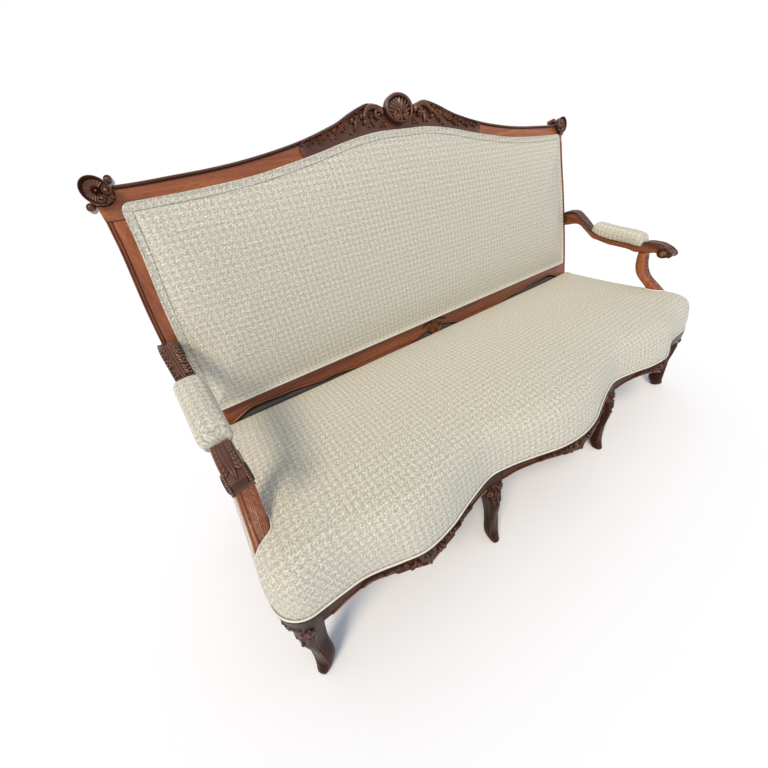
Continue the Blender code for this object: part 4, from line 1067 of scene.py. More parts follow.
def makeBackBand():
    # flat self band with rolled edges, laid round the panel
    low = backShape["borderThick"] - backShape["bandStep"] + 0.0004
    profile = (
        (0.0, 0.0), (-0.0004, 0.0016), (0.0006, 0.0036), (0.0026, 0.0044), (0.0045, 0.0034), (0.007, 0.0030),
        (0.010, 0.0031), (0.013, 0.0030), (0.0155, 0.0034), (0.0172, 0.0044), (0.0190, 0.0034), (0.0196, 0.0016),
        (0.0193, 0.0))
    loops = [backRing(insetLoop(backOutline, inward), low + up) for inward, up in profile]
    ob = skinRings("backBand", list(zip(*loops)), wrapped=True)
    clothMap(ob, lambda co: (co.x, backLocal(co)[1] * backShape["stretch"]))
    return ob


backBand = makeBackBand()
dress(backBand, checkCloth, ["back_gimp"], sharp=60)

stitchPath = backRing(insetLoop(backOutline, 0.0172), backShape["borderThick"] + 0.0009)
backStitches = grown("backStitches", curveThrough("stitchLine", stitchPath, closed=True), ribs, {
    "Spacing": 0.0065, "Rib Long": 0.0021, "Rib Radius": 0.0005, "Slant": 0.0, "Row Offset": 0.0})
dress(backStitches, gimpCloth, sharp=60)

# pale cord along the panel's foot, over the lower rail
cordShape = {"radius": 0.0029, "inward": 0.0035, "up": 0.0022}
cordLine = [p for p in insetLoop(backOutline, cordShape["inward"]) if p[1] < cordShape["inward"] + 0.004]
cordLine = backRing(sorted(map(tuple, cordLine)), backShape["borderThick"] + cordShape["up"])
footCord = tubeAlong("backFootCord", cordLine, cordShape["radius"])
dress(footCord, gimpCloth, sharp=60)

print("arm pads")
padShape = {"half": 0.033, "thick": 0.046, "pressure": 3.0, "cap": 0.004}
padSeatTable = (
    (0.335, 0.484), (0.394, 0.417), (0.5, 0.334), (0.584, 0.297), (0.662, 0.263), (0.762, 0.21))
padWideTable = ((0.0, 0.74), (0.035, 0.92), (0.12, 1.0), (0.35, 1.0), (0.65, 0.97), (0.88, 0.97), (0.965, 0.95),
                (1.0, 0.80))
padTallTable = ((0.0, 0.48), (0.035, 0.8), (0.12, 0.96), (0.35, 1.0), (0.65, 1.0), (0.88, 0.97), (0.965, 0.84),
                (1.0, 0.50))


def armFrame(out, forward, up):  # right arm: across its middle, forward of the root, height
    c, s = math.cos(armYaw), math.sin(armYaw)
    return place(rootOut + out * c - forward * s, armShape["rootY"] - forward * c - out * s, up)


def makePad():
    first, last = padSeatTable[0][0], padSeatTable[-1][0]
    rings = []
    for share in [0.0, 0.008, 0.02, 0.04, 0.07] + evenly(0.1, 0.9, 34) + [0.93, 0.96, 0.98, 0.992, 1.0]:
        at = first + (last - first) * share
        level = armLevel(curveAt(padSeatTable, at)) + 0.0025
        wide = padShape["half"] * curveAt(padWideTable, share)
        tall = padShape["thick"] * curveAt(padTallTable, share)
        ring = []
        for a in around(44):
            c, s = math.cos(a), math.sin(a)
            r = (abs(c) ** 2.9 + abs(s) ** 2.9) ** (-1 / 2.9)
            up = max(s * r, -0.86)
            ring.append(armFrame(wide * c * r, armShape["reach"] * at, level + tall * (up + 0.86) / 1.86))
        rings.append(ring)
    return skinRings("armPadRight", rings)


padRight = makePad()
held = [v.index for v in padRight.data.vertices if v.co.z < armLevel(0.2)]
settle(padRight, held, padShape["pressure"], padShape["cap"], evened=0.012)


def padFlat(co):
    forward = (armShape["rootY"] + lines["backLineY"] - co.y)
    level = armLevel(curveAt(padSeatTable, forward / armShape["reach"]))
    out = co.x - (rootOut - forward * math.tan(armYaw))
    up = co.z - level
    return (math.copysign(1, out) * (abs(out) + max(padShape["thick"] * 0.8 - up, 0)), forward)


clothMap(padRight, padFlat)
padLeft = dressPair(padRight, checkCloth, "arm_pad", 60)


# Show wood

def toneBy(ob, value):  # stain and painted shade kept on the mesh: 0 bare polish, 1 dark; on carved wood, low is wax and painted shade, high is wear and painted highlight
    keepTone(ob.data, [value(v.co) for v in ob.data.vertices])


print("crest rail")
crestShape = {"endV": 0.589, "rise": 0.112, "bead": 0.005, "beadTall": 0.0095, "carvedTo": 0.356,
              "shellV": 0.681, "shellWide": 0.053, "shellTall": 0.038, "earRadius": 0.0288, "earV": 0.580}
crestTopTable = (
    (0.0, 0.88), (0.07, 0.91), (0.122, 1.0), (0.16, 0.94), (0.21, 0.81), (0.255, 0.67), (0.29, 0.59),
    (0.37, 0.43), (0.46, 0.29), (0.58, 0.155), (0.69, 0.075), (0.81, 0.028), (0.9, 0.0), (1.0, 0.0))
crestEnd = panelEdge(lines["jointV"]) + lines["stileFace"]
earOut = crestEnd - 0.0161


def crestTop(x):
    reach = crestShape["earRadius"] + 0.0008
    if x > earOut - reach - 0.0003:
        across = min(abs(x - earOut), reach)
        return crestShape["earV"] - math.sqrt(max(reach ** 2 - across ** 2, 0))
    return crestShape["endV"] + crestShape["rise"] * curveAt(crestTopTable, x / crestEnd)


def crestSection(x):
    out = abs(x)
    inner = panelEdge(lines["jointV"]) - lines["frameLip"]
    low = panelTop(out) - lines["frameLip"] if out < inner else lines["jointV"]
    high = crestTop(out)
    b = crestShape["bead"] if out < earOut - crestShape["earRadius"] - 0.002 else 0.0
    deep, thick = min(crestShape["beadTall"], (high - low) / 2), lines["frameDepth"]
    points = [(0, low), (0, low + (high - low - deep) * 0.5), (0, high - deep - 0.0015), (0, high - deep),
              (b * 0.35, high - deep * 0.93), (b * 0.35, high - deep * 0.84)]
    # the roll along the top edge
    points += [(b * 0.55 - b * 1.55 * c, high - deep * (0.42 - 0.4 * s)) for c, s in arc(-75, 75, 8)]
    points += [(b * 0.9, high + b * 0.02), (thick * 0.5, high), (thick - 0.003, high - 0.0005),
               (thick, high - 0.003), (thick, low)]
    return [onBack(x, v, -w) for w, v in points]


crestPlaces = evenly(0, earOut - crestShape["earRadius"] - 0.0015, 210)
crestPlaces += evenly(earOut - crestShape["earRadius"] - 0.0005, crestEnd, 36)
crestPlaces = [-x for x in reversed(crestPlaces[1:])] + crestPlaces
crestRail = skinRings("crestRail", [crestSection(x) for x in crestPlaces])


def crestTone(co):
    x, v, out = backLocal(co)
    under = crestTop(abs(x)) - v
    edge = crestShape["carvedTo"] - 0.012 * max(min(under / 0.05, 1), 0) ** 2
    carvedPart = 1 / (1 + math.exp((abs(x) - edge) / 0.003)) if out > -0.004 else 0
    roll = crestShape["beadTall"]
    # painted shade in the quirk under the top roll, and the roll darker too; the carved ground holds more stain
    quirk = 0.9 if 0.77 * roll < under < 1.01 * roll else 0.75 if under <= 0.77 * roll and out > -0.012 else 0.0
    if abs(x) > earOut - crestShape["earRadius"]:
        return 0.0
    return max(0.8 * carvedPart, quirk)


toneBy(crestRail, crestTone)
dress(crestRail, polishX, ["crest_rail"], sharp=32)

# Crest carving: a scallop between C-scrolls, and leaf sprays that run out along the rail
crestCarving = newCarving()
for side in (1, -1):
    def onCrest(u, v, h, side=side):
        return onBack(side * u, min(v, crestTop(abs(u)) - 0.0035), h)

    # a bold C-scroll: out of its eye by the shell, up and over, to a curl at its outer foot
    arch = spiral((0.079, 0.668), 0.0035, 0.0150, -170, 0.95)[:-1] + [
        (0.0655, 0.677), (0.072, 0.685), (0.088, 0.690), (0.106, 0.689), (0.121, 0.681), (0.130, 0.670),
        (0.132, 0.657)]
    carve(crestCarving, onCrest, arch,
          lambda s: 0.0026 + 0.0062 * math.sin(math.pi * min(s ** 1.4 * 1.04, 1)) ** 0.8,
          stemHeight(0.0140, 2), rows=100, cols=14)
    button(crestCarving, onCrest, (0.079, 0.668), 0.0062, 0.013)
    button(crestCarving, onCrest, (0.1315, 0.655), 0.0060, 0.012)
    # the roll that goes on from the scroll along the top edge
    roll = [(0.104, 0.694)] + [(x, crestTop(x) - 0.0065) for x in (0.13, 0.16, 0.20, 0.25, 0.30, 0.35)]
    stem(crestCarving, onCrest, roll, 0.0052, 0.0024, 0.0085, 70, 10, shade=0.55)
    acanthus(crestCarving, onCrest, [(0.104, 0.676), (0.102, 0.660), (0.098, 0.641)], 0.0090, 0.008, 2)
    for spine, wide, deep, pairs in (
            ([(0.138, 0.680), (0.152, 0.668), (0.163, 0.652), (0.171, 0.634)], 0.0125, 0.0110, 3),
            ([(0.170, 0.672), (0.194, 0.661), (0.219, 0.645), (0.242, 0.622)], 0.0130, 0.0105, 3),
            ([(0.200, 0.655), (0.207, 0.646), (0.209, 0.636)], 0.0085, 0.0085, 1),
            ([(0.236, 0.652), (0.257, 0.643), (0.280, 0.630), (0.300, 0.614)], 0.0110, 0.0095, 3),
            ([(0.292, 0.635), (0.306, 0.629), (0.321, 0.621), (0.334, 0.611)], 0.0080, 0.0080, 2),
            ([(0.052, 0.651), (0.064, 0.645), (0.079, 0.642)], 0.0090, 0.0070, 1)):
        acanthus(crestCarving, onCrest, spine, wide, deep, pairs)
    for u, v in ((0.166, 0.677), (0.184, 0.633), (0.252, 0.626), (0.318, 0.6355), (0.114, 0.645), (0.347, 0.620)):
        button(crestCarving, onCrest, (u, v), 0.0038, 0.0070)
    # the engraved line where the carving stops: a low stem kept dark with wax as the painted shade of a groove
    stem(crestCarving, onCrest, [(0.353, 0.620), (0.357, 0.610), (0.356, 0.600), (0.350, 0.591), (0.342, 0.585)],
         0.0018, 0.0012, 0.0022, 24, 6, shade=0.2)
dress(carvingObject("crestLeaves", crestCarving), carvedX)


def makeShell():
    # scallop: ribs spread from a hinge low on one side, inside a raised rolled rim
    wide, tall, middle = crestShape["shellWide"], crestShape["shellTall"], crestShape["shellV"]
    hingeV = middle - tall * 0.42
    ribs, rows, cols = 11, 40, 176
    verts, tones = [], []
    for i in range(rows + 1):
        r = i / rows
        for j in range(cols):
            a = 2 * math.pi * j / cols
            ex, ev = wide * math.cos(a), middle + tall * math.sin(a)
            x, v = ex * r, hingeV + (ev - hingeV) * r
            fan = math.atan2(ev - hingeV, ex)
            wave = 0.5 + 0.5 * math.cos(2 * ribs * fan)
            # smooth rolled rim outside, ribs only within it and strongest above the hinge
            rim = math.sqrt(max(1 - ((r - 0.89) / 0.11) ** 2, 0)) if r > 0.78 else 0.0
            dish = 0.0085 + 0.0045 * math.sin(math.pi * min(r / 0.8, 1))
            upper = 1.0 if math.sin(fan) > 0 else 0.35
            inside = min(max((0.80 - r) / 0.06, 0), 1)
            ribbed = 0.0065 * wave * r ** 0.7 * inside * upper
            h = max((dish + ribbed) * (1 if r < 0.84 else 0), 0.0185 * rim ** 0.7, 0.0004)
            verts.append(onBack(x, v, h))
            # painted shade and highlight: the rim's foot and the valleys between ribs take wax, the rim's crown and
            # rib crests are lighter, and the ribs below the hinge stay darker
            tones.append(0.75 * rim if r > 0.80 else min(wave * inside, 1) * (0.4 + 0.6 * upper))
    faces = ringFaces(rows + 1, cols) + [tuple(rows * cols + j for j in range(cols))]
    shell = objectOf("crestShell", meshOf("crestShell", verts, faces, 0.00001, tones))
    curls = newCarving()
    for side in (1, -1):
        def onShell(u, v, h, side=side):
            return onBack(side * u, v, h + 0.010)
        volute(curls, onShell, (0.0155, hingeV - 0.006), (0.0115, 0.0025, 100, -1.3), (0.0048, 0.0028), 0.010,
               (0.0052, 0.010), 40, 10, sunk=0.009)
    acanthus(curls, lambda u, v, h: onBack(u, v, h + 0.009), [(0, hingeV + 0.018), (0, hingeV), (0, hingeV - 0.026)],
             0.0100, 0.0085, 2)
    return shell, carvingObject("shellCurls", curls)


crestShell, shellCurls = makeShell()
dress(crestShell, carvedX, ["crest_shell"])
dress(shellCurls, carvedX)

print("ears")
earShape = {"radius": crestShape["earRadius"], "front": 0.016, "back": 0.036, "petals": 17, "petalLong": 0.0190,
            "petalWide": 0.0030, "fanFrom": -74.0, "fanSweep": 214.0, "knobLong": 0.0098, "knobTall": 0.0078}


def petalTree():  # petals fanned along an arc
    tree, given = growTree("rosettePetals", {
        "Count": "Int", "Ring Radius": "Float", "Fan From": "Float", "Fan Sweep": "Float", "Material": "Material"})
    maths = mathsIn(tree)
    share = maths("DIVIDE", add(tree, "GeometryNodeInputIndex").outputs[0], maths("SUBTRACT", given["Count"], 1.0))
    angle = maths("ADD", given["Fan From"], maths("MULTIPLY", share, given["Fan Sweep"]))
    spot = add(tree, "CombineXYZ", {k: maths("MULTIPLY", maths(operation, angle), given["Ring Radius"])
                                    for k, operation in enumerate(("COSINE", "SINE"))})
    points = add(tree, "GeometryNodePoints", {"Count": given["Count"], "Position": spot.outputs[0]})
    spin = add(tree, "CombineXYZ", {2: angle})
    spread = add(tree, "GeometryNodeInstanceOnPoints", {
        "Points": points.outputs[0], "Instance": given["Geometry"], "Rotation": spin.outputs[0]})
    return endTree(tree, spread.outputs[0], given["Material"])


def makeEar():
    # turned roll with a rim, a dish of petals and a boss, and small scrolls behind it
    r, front, back = earShape["radius"], earShape["front"], earShape["back"]

    def atEar(u, v, out):
        return onBack(earOut + u, crestShape["earV"] + v, out)

    profile = [(r * 0.86, -back), (r * 0.95, -back + 0.0006), (r, -back + 0.004), (r * 0.985, -back * 0.6),
               (r * 0.9, -back * 0.45), (r * 0.985, -back * 0.3), (r, -0.004), (r * 0.93, 0.002), (r, 0.006),
               (r, front - 0.005), (r * 0.99, front - 0.002), (r * 0.965, front - 0.0004), (r * 0.94, front),
               (r * 0.915, front - 0.0006), (r * 0.90, front - 0.002), (r * 0.89, front - 0.0048),
               (r * 0.875, front - 0.0052), (r * 0.865, front - 0.0038), (r * 0.845, front - 0.0034),
               (r * 0.825, front - 0.0054), (r * 0.80, 0.0072), (r * 0.5, 0.0058), (r * 0.3, 0.0066),
               (r * 0.22, 0.008)]
    body = skinRings("earBody", [[atEar(size * math.cos(a), size * math.sin(a), out) for a in around(64)]
                                 for size, out in profile])
    # wax and painted shade darken the body, its sides and dish; the small bead inside the rim is lightened as a
    # painted highlight, the rim's top in between
    toneBy(body, lambda co: 0.1 if backLocal(co)[2] < 0.0112 else 0.45 if backLocal(co)[2] > 0.0135 else 0.95)
    petal = newCarving()
    half = earShape["petalLong"] / 2

    def petalHeight(s, t):
        ends = min(1, s / 0.1) * min(1, (1 - s) / 0.12)
        return 0.0045 * math.sqrt(max(1 - t * t, 0)) * ends * (0.55 + 0.45 * s)

    carve(petal, lambda u, v, h: Vector((u, v, h)), [(-half, 0), (0, 0), (half, 0)],
          lambda s: earShape["petalWide"] * (0.45 + 0.65 * s ** 0.7) * (1 - max(s - 0.85, 0) * 2), petalHeight,
          rows=12, cols=6, sunk=0.0008)
    base, tree = carvingObject("petal", petal), petalTree()
    petals = grown("petals", base, tree, {
        "Count": earShape["petals"], "Ring Radius": r * 0.51, "Fan From": math.radians(earShape["fanFrom"]),
        "Fan Sweep": math.radians(earShape["fanSweep"]), "Material": carvedX})
    for v in petals.data.vertices:
        v.co = atEar(v.co.x, v.co.y, 0.0066 + v.co.z)
    trims = newCarving()
    button(trims, lambda u, v, h: atEar(u, v, h + 0.007), (0, 0), r * 0.13, 0.0072, 8, 20)
    for a in around(16):  # fine ribs round the boss
        stem(trims, lambda u, v, h: atEar(u, v, h + 0.0068),
             [(r * s * math.cos(a), r * s * math.sin(a)) for s in (0.12, 0.24, 0.36)], 0.0016, 0.0020, 0.0052, 10, 6,
             shade=0.6)
    # two volutes and a stem on the inner side, over the rim
    for centre, size, start, turns in (
            ((-0.0180, -0.0020), 0.0115, 130, 1.15), ((-0.0030, -0.0155), 0.0092, -10, -1.2)):
        volute(trims, lambda u, v, h: atEar(u, v, h + 0.0118), centre, (size, 0.0020, start, turns), (0.0034, 0.0020),
               0.0074, (size * 0.56, 0.0066, 8, 20), sunk=0.005)
    for spine in (
            [(-0.0125, -0.0150), (-0.0150, -0.0215), (-0.0080, -0.0262)],
            [(-0.0185, -0.0125), (-0.0235, -0.0155), (-0.0255, -0.0200)]):
        carve(trims, lambda u, v, h: atEar(u, v, h + 0.0125), spine, leafWidth(0.0036, 1, 0), leafletHeight(0.006),
              rows=20, cols=8, sunk=0.006)
    volutes = carvingObject("earVolutes", trims)
    knobs = []
    for degrees in (143, -41):
        a = math.radians(degrees)
        reach = r + earShape["knobTall"] * 1.1
        u, v = reach * math.cos(a), reach * math.sin(a)
        rings = []
        for out, size in ((-0.033, 0.6), (-0.0325, 0.9), (-0.031, 1.0), (-0.02, 0.94), (-0.009, 1.0), (-0.005, 0.9),
                          (-0.004, 0.72), (-0.0055, 0.6), (-0.0045, 0.35)):
            ring = []
            for turn in around(28):
                p, q = earShape["knobLong"] * size * math.cos(turn), earShape["knobTall"] * size * math.sin(turn)
                ring.append(atEar(u + p * math.cos(a) - q * math.sin(a), v + p * math.sin(a) + q * math.cos(a), out))
            rings.append(ring)
        knob = skinRings("knob", rings)
        toneBy(knob, lambda co: 0.6)
        knobs.append(knob)
    return joined("earRosetteRight", [body, petals, volutes] + knobs)


earRight = makeEar()
dressPair(earRight, carvedX, "ear_rosette", 40)

print("posts and lower rail")
rearPostShape = {"frontY": 0.018, "depth": 0.040, "width": 0.044, "sweep": 0.112, "foot": 0.031, "bead": 0.0032}
rearLegTable = ((0.0, 1.0, 1.0), (0.22, 0.78, 0.9), (0.5, 0.42, 0.6), (0.78, 0.10, 0.25), (1.0, 0.0, 0.0))
postOuter = lines["panelSide"] + lines["panelSpread"] + lines["stileFace"]


def stileSection(inner, outer, depth, bead):
    # flat face, quirk, a double bead on the outer edge, then the plain side and back
    points = [(inner, 0.0), (inner + (outer - inner) * 0.4, 0.0), (outer - 0.0125, 0.0),
              (outer - 0.0118, bead * 0.5), (outer - 0.0110, bead * 0.5)]
    for start, size in ((outer - 0.0108, 0.0058), (outer - 0.0048, 0.0046)):
        points += [(start + size / 2 + size / 2 * c, bead * 0.35 - bead * 1.25 * s) for c, s in arc(170, 10, 6)]
    return points + [(outer, bead * 1.2), (outer, depth * 0.5), (outer, depth - 0.003),
                     (outer - 0.0009, depth - 0.0009), (outer - 0.003, depth), (inner, depth)]


def makeRearPost():
    rings = []
    b, wide, deep = rearPostShape["bead"], rearPostShape["width"], rearPostShape["depth"]
    foot, joint = -0.071, lines["jointV"] - 0.0004
    for v in [joint, joint - 0.0022, joint - 0.0026] + evenly(joint - 0.008, 0, 70) + evenly(-0.01, foot, 8):
        edge = panelEdge(max(v, 0))
        shape = stileSection(edge - lines["frameLip"], edge + lines["stileFace"], lines["frameDepth"], b)
        rings.append([onBack(x, v, -w) for x, w in shape])
    shape = stileSection(postOuter - wide, postOuter, deep, b * 0.4)
    railTop = lines["railTop"]
    for level in (railTop + 0.040, railTop + 0.02, railTop, lines["frontLow"], lines["legTop"]):
        rings.append([place(x, rearPostShape["frontY"] + w, level) for x, w in shape])
    for height in evenly(0.95, 0.0, 24):
        slim = curveAt(column(rearLegTable, 2), height)
        half = (wide + (rearPostShape["foot"] - wide) * slim) / 2
        middle = postOuter - wide / 2
        shape = stileSection(middle - half, middle + half, deep + (rearPostShape["foot"] - deep) * slim, b * 0.4)
        front = rearPostShape["frontY"] + rearPostShape["sweep"] * curveAt(column(rearLegTable, 1), height)
        rings.append([place(x, front + w, lines["legTop"] * height) for x, w in shape])
    return skinRings("rearPostRight", rings)


rearPostRight = makeRearPost()


def postTone(co):
    x, v, out = backLocal(co)
    if v < 0.0 or v > lines["jointV"] + 0.01 or out < -0.003:
        return 0.0
    if v > lines["jointV"] - 0.0028:
        return 0.95
    if x - panelEdge(v) < lines["stileFace"] - 0.0122:
        return 0.0
    # painted shade in the quirks sunk behind the face; the beads hold a little stain
    return 0.9 if out < -0.0006 else 0.35


toneBy(rearPostRight, postTone)
dressPair(rearPostRight, polishZ, "rear_post", 34)


def lowerSection(x):
    low = -lowerRailShape["drop"] * curveAt(lowerDropTable, abs(x) / lowerEnd)
    b, deep = lowerRailShape["bead"], lowerRailShape["beadTall"]
    points = [(0, lines["frameLip"]), (0, low + deep * 1.6), (0, low + deep * 1.05), (b * 0.3, low + deep * 0.98),
              (b * 0.3, low + deep * 0.88)]
    points += [(b * 0.5 - b * 1.45 * c, low + deep * (0.44 + 0.42 * s)) for c, s in arc(75, -75, 8)]
    points += [(b * 0.7, low), (lines["frameDepth"] - 0.002, low), (lines["frameDepth"], low + 0.002),
               (lines["frameDepth"], lines["frameLip"])]
    return [onBack(x, v, -w) for w, v in points]


lowerRail = skinRings("lowerBackRail", [lowerSection(x) for x in evenly(-lowerEnd, lowerEnd, 420)])
# painted shade in the quirk above the lower roll, on the underside and on the back; the rest holds a little stain
toneBy(lowerRail, lambda co: 0.75 if backLocal(co)[1] < -0.02 and backLocal(co)[2] < -0.0008 else 0.3)
dress(lowerRail, polishX, ["lower_back_rail"], sharp=34)
pendant = newCarving()
for side in (1, -1):
    def onRail(u, v, h, side=side):
        return onBack(side * u, v, h)
    acanthus(pendant, onRail, [(0.006, -0.020), (0.024, -0.034), (0.052, -0.038)], 0.0110, 0.0085, 2)
    acanthus(pendant, onRail, [(0.010, -0.006), (0.034, -0.014), (0.072, -0.026)], 0.0085, 0.0070, 2)
acanthus(pendant, lambda u, v, h: onBack(u, v, h), [(0, -0.004), (0, -0.03), (0, -0.062)], 0.0130, 0.0095, 3)
dress(carvingObject("backRailPendant", pendant), carvedX)

print("arms")
armTopTable = [
    (0.0, 0.94), (0.03, 1.003), (0.07, 1.013), (0.11, 1.01), (0.14, 0.98), (0.17, 0.917), (0.235, 0.75),
    (0.285, 0.61), (0.318, 0.540), (0.335, 0.484), (0.394, 0.417), (0.5, 0.334), (0.584, 0.297), (0.662, 0.263),
    (0.748, 0.236), (0.765, 0.27), (0.782, 0.325), (0.828, 0.334), (0.886, 0.313), (0.932, 0.256), (0.966, 0.189),
    (0.988, 0.12), (0.99, 0.062), (0.972, 0.019), (0.94, 0), (0.91, 0.016), (0.893, 0.056), (0.884, 0.091),
    (0.862, 0.099), (0.834, 0.068), (0.722, 0.068), (0.662, 0.123), (0.584, 0.157), (0.5, 0.19), (0.394, 0.277),
    (0.338, 0.33), (0.262, 0.51), (0.21, 0.63), (0.174, 0.677), (0.13, 0.677), (0.08, 0.644), (0.035, 0.629),
    (0.0, 0.629)]
armRows = {"rise": 9, "nose": 23, "under": 26}  # rows of the table where the drop, the top and the nose end


def makeArm():
    # the side outline of the arm, its edges rounded over
    pts = []
    for at, up in armTopTable:
        forward, level = armShape["reach"] * at, armLevel(up)
        if at == 0.0:  # against the raked stile
            v = (level - lines["backFootZ"]) / math.cos(lines["rake"])
            y = lines["backFaceY"] + v * math.sin(lines["rake"])
            forward = armShape["rootY"] - y + 0.003
        pts.append((forward, level))
    cut = armTopTable.index((0.834, 0.068)) + 1  # where the post meets the arm
    outline = np.vstack([smoothLine(pts[:cut], 220), smoothLine(pts[cut:], 130)])
    half, edge = armShape["thick"] / 2, 0.0065
    edges = [(half - edge + edge * c, edge * (1 - s)) for c, s in arc(0, 90, 7)]
    sections = [(-w, inset) for w, inset in edges] + edges[::-1]
    return skinRings("armRight", [[armFrame(w, f, z) for f, z in insetLoop(outline, -inset)]
                                  for w, inset in sections])


armRight = makeArm()


def armTone(co):
    forward = armShape["rootY"] + lines["backLineY"] - co.y
    top = armLevel(curveAt(armTopTable[:armRows["nose"]], min(forward / armShape["reach"], 0.99)))
    if (forward < 0.165 or forward > 0.385) and co.z > top - 0.008:
        return 0.85
    # painted shade round the volute by the stile and round the scroll's eye, so that their relief reads; the carved
    # zones of the top hold more stain
    nearVolute = math.hypot(forward - 0.021, co.z - armShape["low"] - armShape["rise"] * 0.80) < 0.024
    return 0.6 if nearVolute or (forward > 0.44 and co.z < armShape["low"] + 0.036) else 0.05


toneBy(armRight, armTone)
dressPair(armRight, polishY, "arm", 34)

armTopLine = smoothLine([(armShape["reach"] * a, armLevel(u)) for a, u in armTopTable[1:armRows["under"]]], 400)
armTopRun = np.concatenate([[0], np.cumsum(np.linalg.norm(np.diff(armTopLine, axis=0), axis=1))])
armTopAlong = np.gradient(armTopLine, axis=0)
armTopAlong /= np.linalg.norm(armTopAlong, axis=1)[:, None]


def onArmTop(u, s, h):  # across the arm, along its top from the stile, off the surface
    s = min(max(s, 0), armTopRun[-1])
    f, z = (np.interp(s, armTopRun, armTopLine[:, k]) for k in (0, 1))
    tf, tz = (np.interp(s, armTopRun, armTopAlong[:, k]) for k in (0, 1))
    return armFrame(u, f - tz * h, z + tf * h)


armTip = int(np.argmax(armTopLine[:, 0]))


def runAt(forward):  # run along the arm's top to a place, as a share of its reach
    return float(np.interp(forward * armShape["reach"], armTopLine[:armTip, 0], armTopRun[:armTip]))


armCarving = newCarving()
rearEnd, frontStart, frontEnd = runAt(0.325), runAt(0.765), runAt(0.972)
edgeAt = armShape["thick"] / 2 - 0.0030


def onArmTopInside(u, s, h):  # as onArmTop, kept inside the arm's edges
    return onArmTop(max(-edgeAt, min(edgeAt, u)), s, h)


acanthus(armCarving, onArmTopInside, [(0, 0.002), (0.0006, rearEnd * 0.5), (0, rearEnd + 0.004)], 0.0185, 0.0055, 8,
         taper=0.2)
acanthus(armCarving, onArmTopInside, [(0, frontStart - 0.004), (0.0006, (frontStart + frontEnd) / 2), (0, frontEnd)],
         0.0200, 0.0048, 8, taper=0.0)
noseEnd = armTopRun[int(np.argmin(np.abs(armTopLine[armTip:, 1] - armShape["low"] - 0.004))) + armTip]
for first, last, count, size in ((0.004, rearEnd, 17, 0.0042), (frontEnd - 0.022, noseEnd, 10, 0.0034)):
    for s in evenly(first, last, count):  # beading along both edges
        for u in (-edgeAt - 0.001, edgeAt + 0.001):
            button(armCarving, onArmTop, (u, s), size, size * 0.7, 5, 12)
# roll over the nose of the hand-hold, kept dark as painted shade on the curl's front
stem(armCarving, onArmTop, [(-0.0150, frontEnd + 0.006), (0, frontEnd + 0.006), (0.0150, frontEnd + 0.006)],
     0.0060, 0.0060, 0.0030, 30, 12, grooves=2, shade=0.4)
armDiscs = newCarving()
scrollEye = {"forward": 0.4665, "up": 0.0160, "long": 0.0222, "tall": 0.0158}
scrollMiddle = (scrollEye["forward"], armShape["low"] + scrollEye["up"])
for face in (1, -1):  # the scroll's eye on both sides
    def onArmSide(u, v, h, face=face):
        return armFrame(face * (armShape["thick"] / 2 + h), u, v)
    coil = [(scrollMiddle[0] + scrollEye["long"] * k * math.cos(a),
             scrollMiddle[1] + scrollEye["tall"] * k * math.sin(a))
            for a, k in zip(evenly(math.radians(150), math.radians(-240), 40), evenly(1.0, 0.78, 40))]
    # the coil round the eye is kept dark with wax as painted shade
    stem(armCarving, onArmSide, coil, 0.0036, 0.0022, 0.0038, 70, 8, shade=0.15)
    button(armDiscs, onArmSide, scrollMiddle, 0.0124, 0.0046, 8, 24)
    rise = smoothLine([(armShape["reach"] * a, armLevel(u) - 0.0045)
                       for a, u in armTopTable[1:armRows["rise"]]], 60)
    stem(armCarving, onArmSide, [tuple(p) for p in rise], 0.0030, 0.0028, 0.0028, 70, 8, shade=0.4)
    volute(armCarving, onArmSide, (0.021, armLevel(0.80)), (0.0175, 0.0040, 60, 1.35),
           (0.0048, 0.0030), 0.0052, (0.0062, 0.0056), 50, 10, shade=0.7)
dressPair(carvingObject("armDiscsRight", armDiscs), carvedZ)
dressPair(carvingObject("armCarvingRight", armCarving), carvedY)

armPostRight = skinRings("armPostRight", postRings(0.0, 0.0, 1.0, 70))
toneBy(armPostRight, lambda co: 0.0)
dressPair(armPostRight, polishZ, "arm_post", 40)


def onPostFront(u, drop, h):  # across the front face, down the post
    a = -math.pi / 2 + math.asin(max(-0.98, min(0.98, u / armShape["postHalf"]))) * 0.78
    p, q = postPoint(drop, a), postPoint(drop, a, 0.01)
    return p + (q - p) * (h / 0.01)


postCarving = newCarving()


def onPostFace(u, v, h):  # as onPostFront, in metres down the post
    return onPostFront(u, v / armShape["postTall"], h)


acanthus(postCarving, onPostFace, [(-0.0030, 0.010), (-0.0060, 0.070), (-0.0040, 0.130), (0.0010, 0.185)],
         0.0115, 0.0040, 9, taper=0.3)
carve(postCarving, onPostFace, [(0.0105, 0.016), (0.0115, 0.070), (0.0098, 0.125), (0.0040, 0.175)],
      leafWidth(0.0030, 4, 0.25), leafHeight(0.0038, 5), rows=60, cols=8)
stem(postCarving, onPostFace, [(0.0172, 0.005), (0.0172, 0.100), (0.0172, 0.200)], 0.0016, 0.0016, 0.0022, 60, 6)
dressPair(carvingObject("postCarvingRight", postCarving), carvedZ)

print("seat rails")
railShape = {"thick": 0.045, "show": 0.040, "reach": 0.005, "bead": 0.0034, "beadTall": 0.008, "skirt": 0.016,
             "legInner": 0.802}
railShowTable = (
    (0.0, 1.0), (0.1, 0.72), (0.25, 0.62), (0.38, 0.9), (0.5, 1.42), (0.62, 0.9), (0.75, 0.62), (0.9, 0.72),
    (1.0, 1.0))
innerLeg = seatStraight * 0.364
innerHalf = 0.030


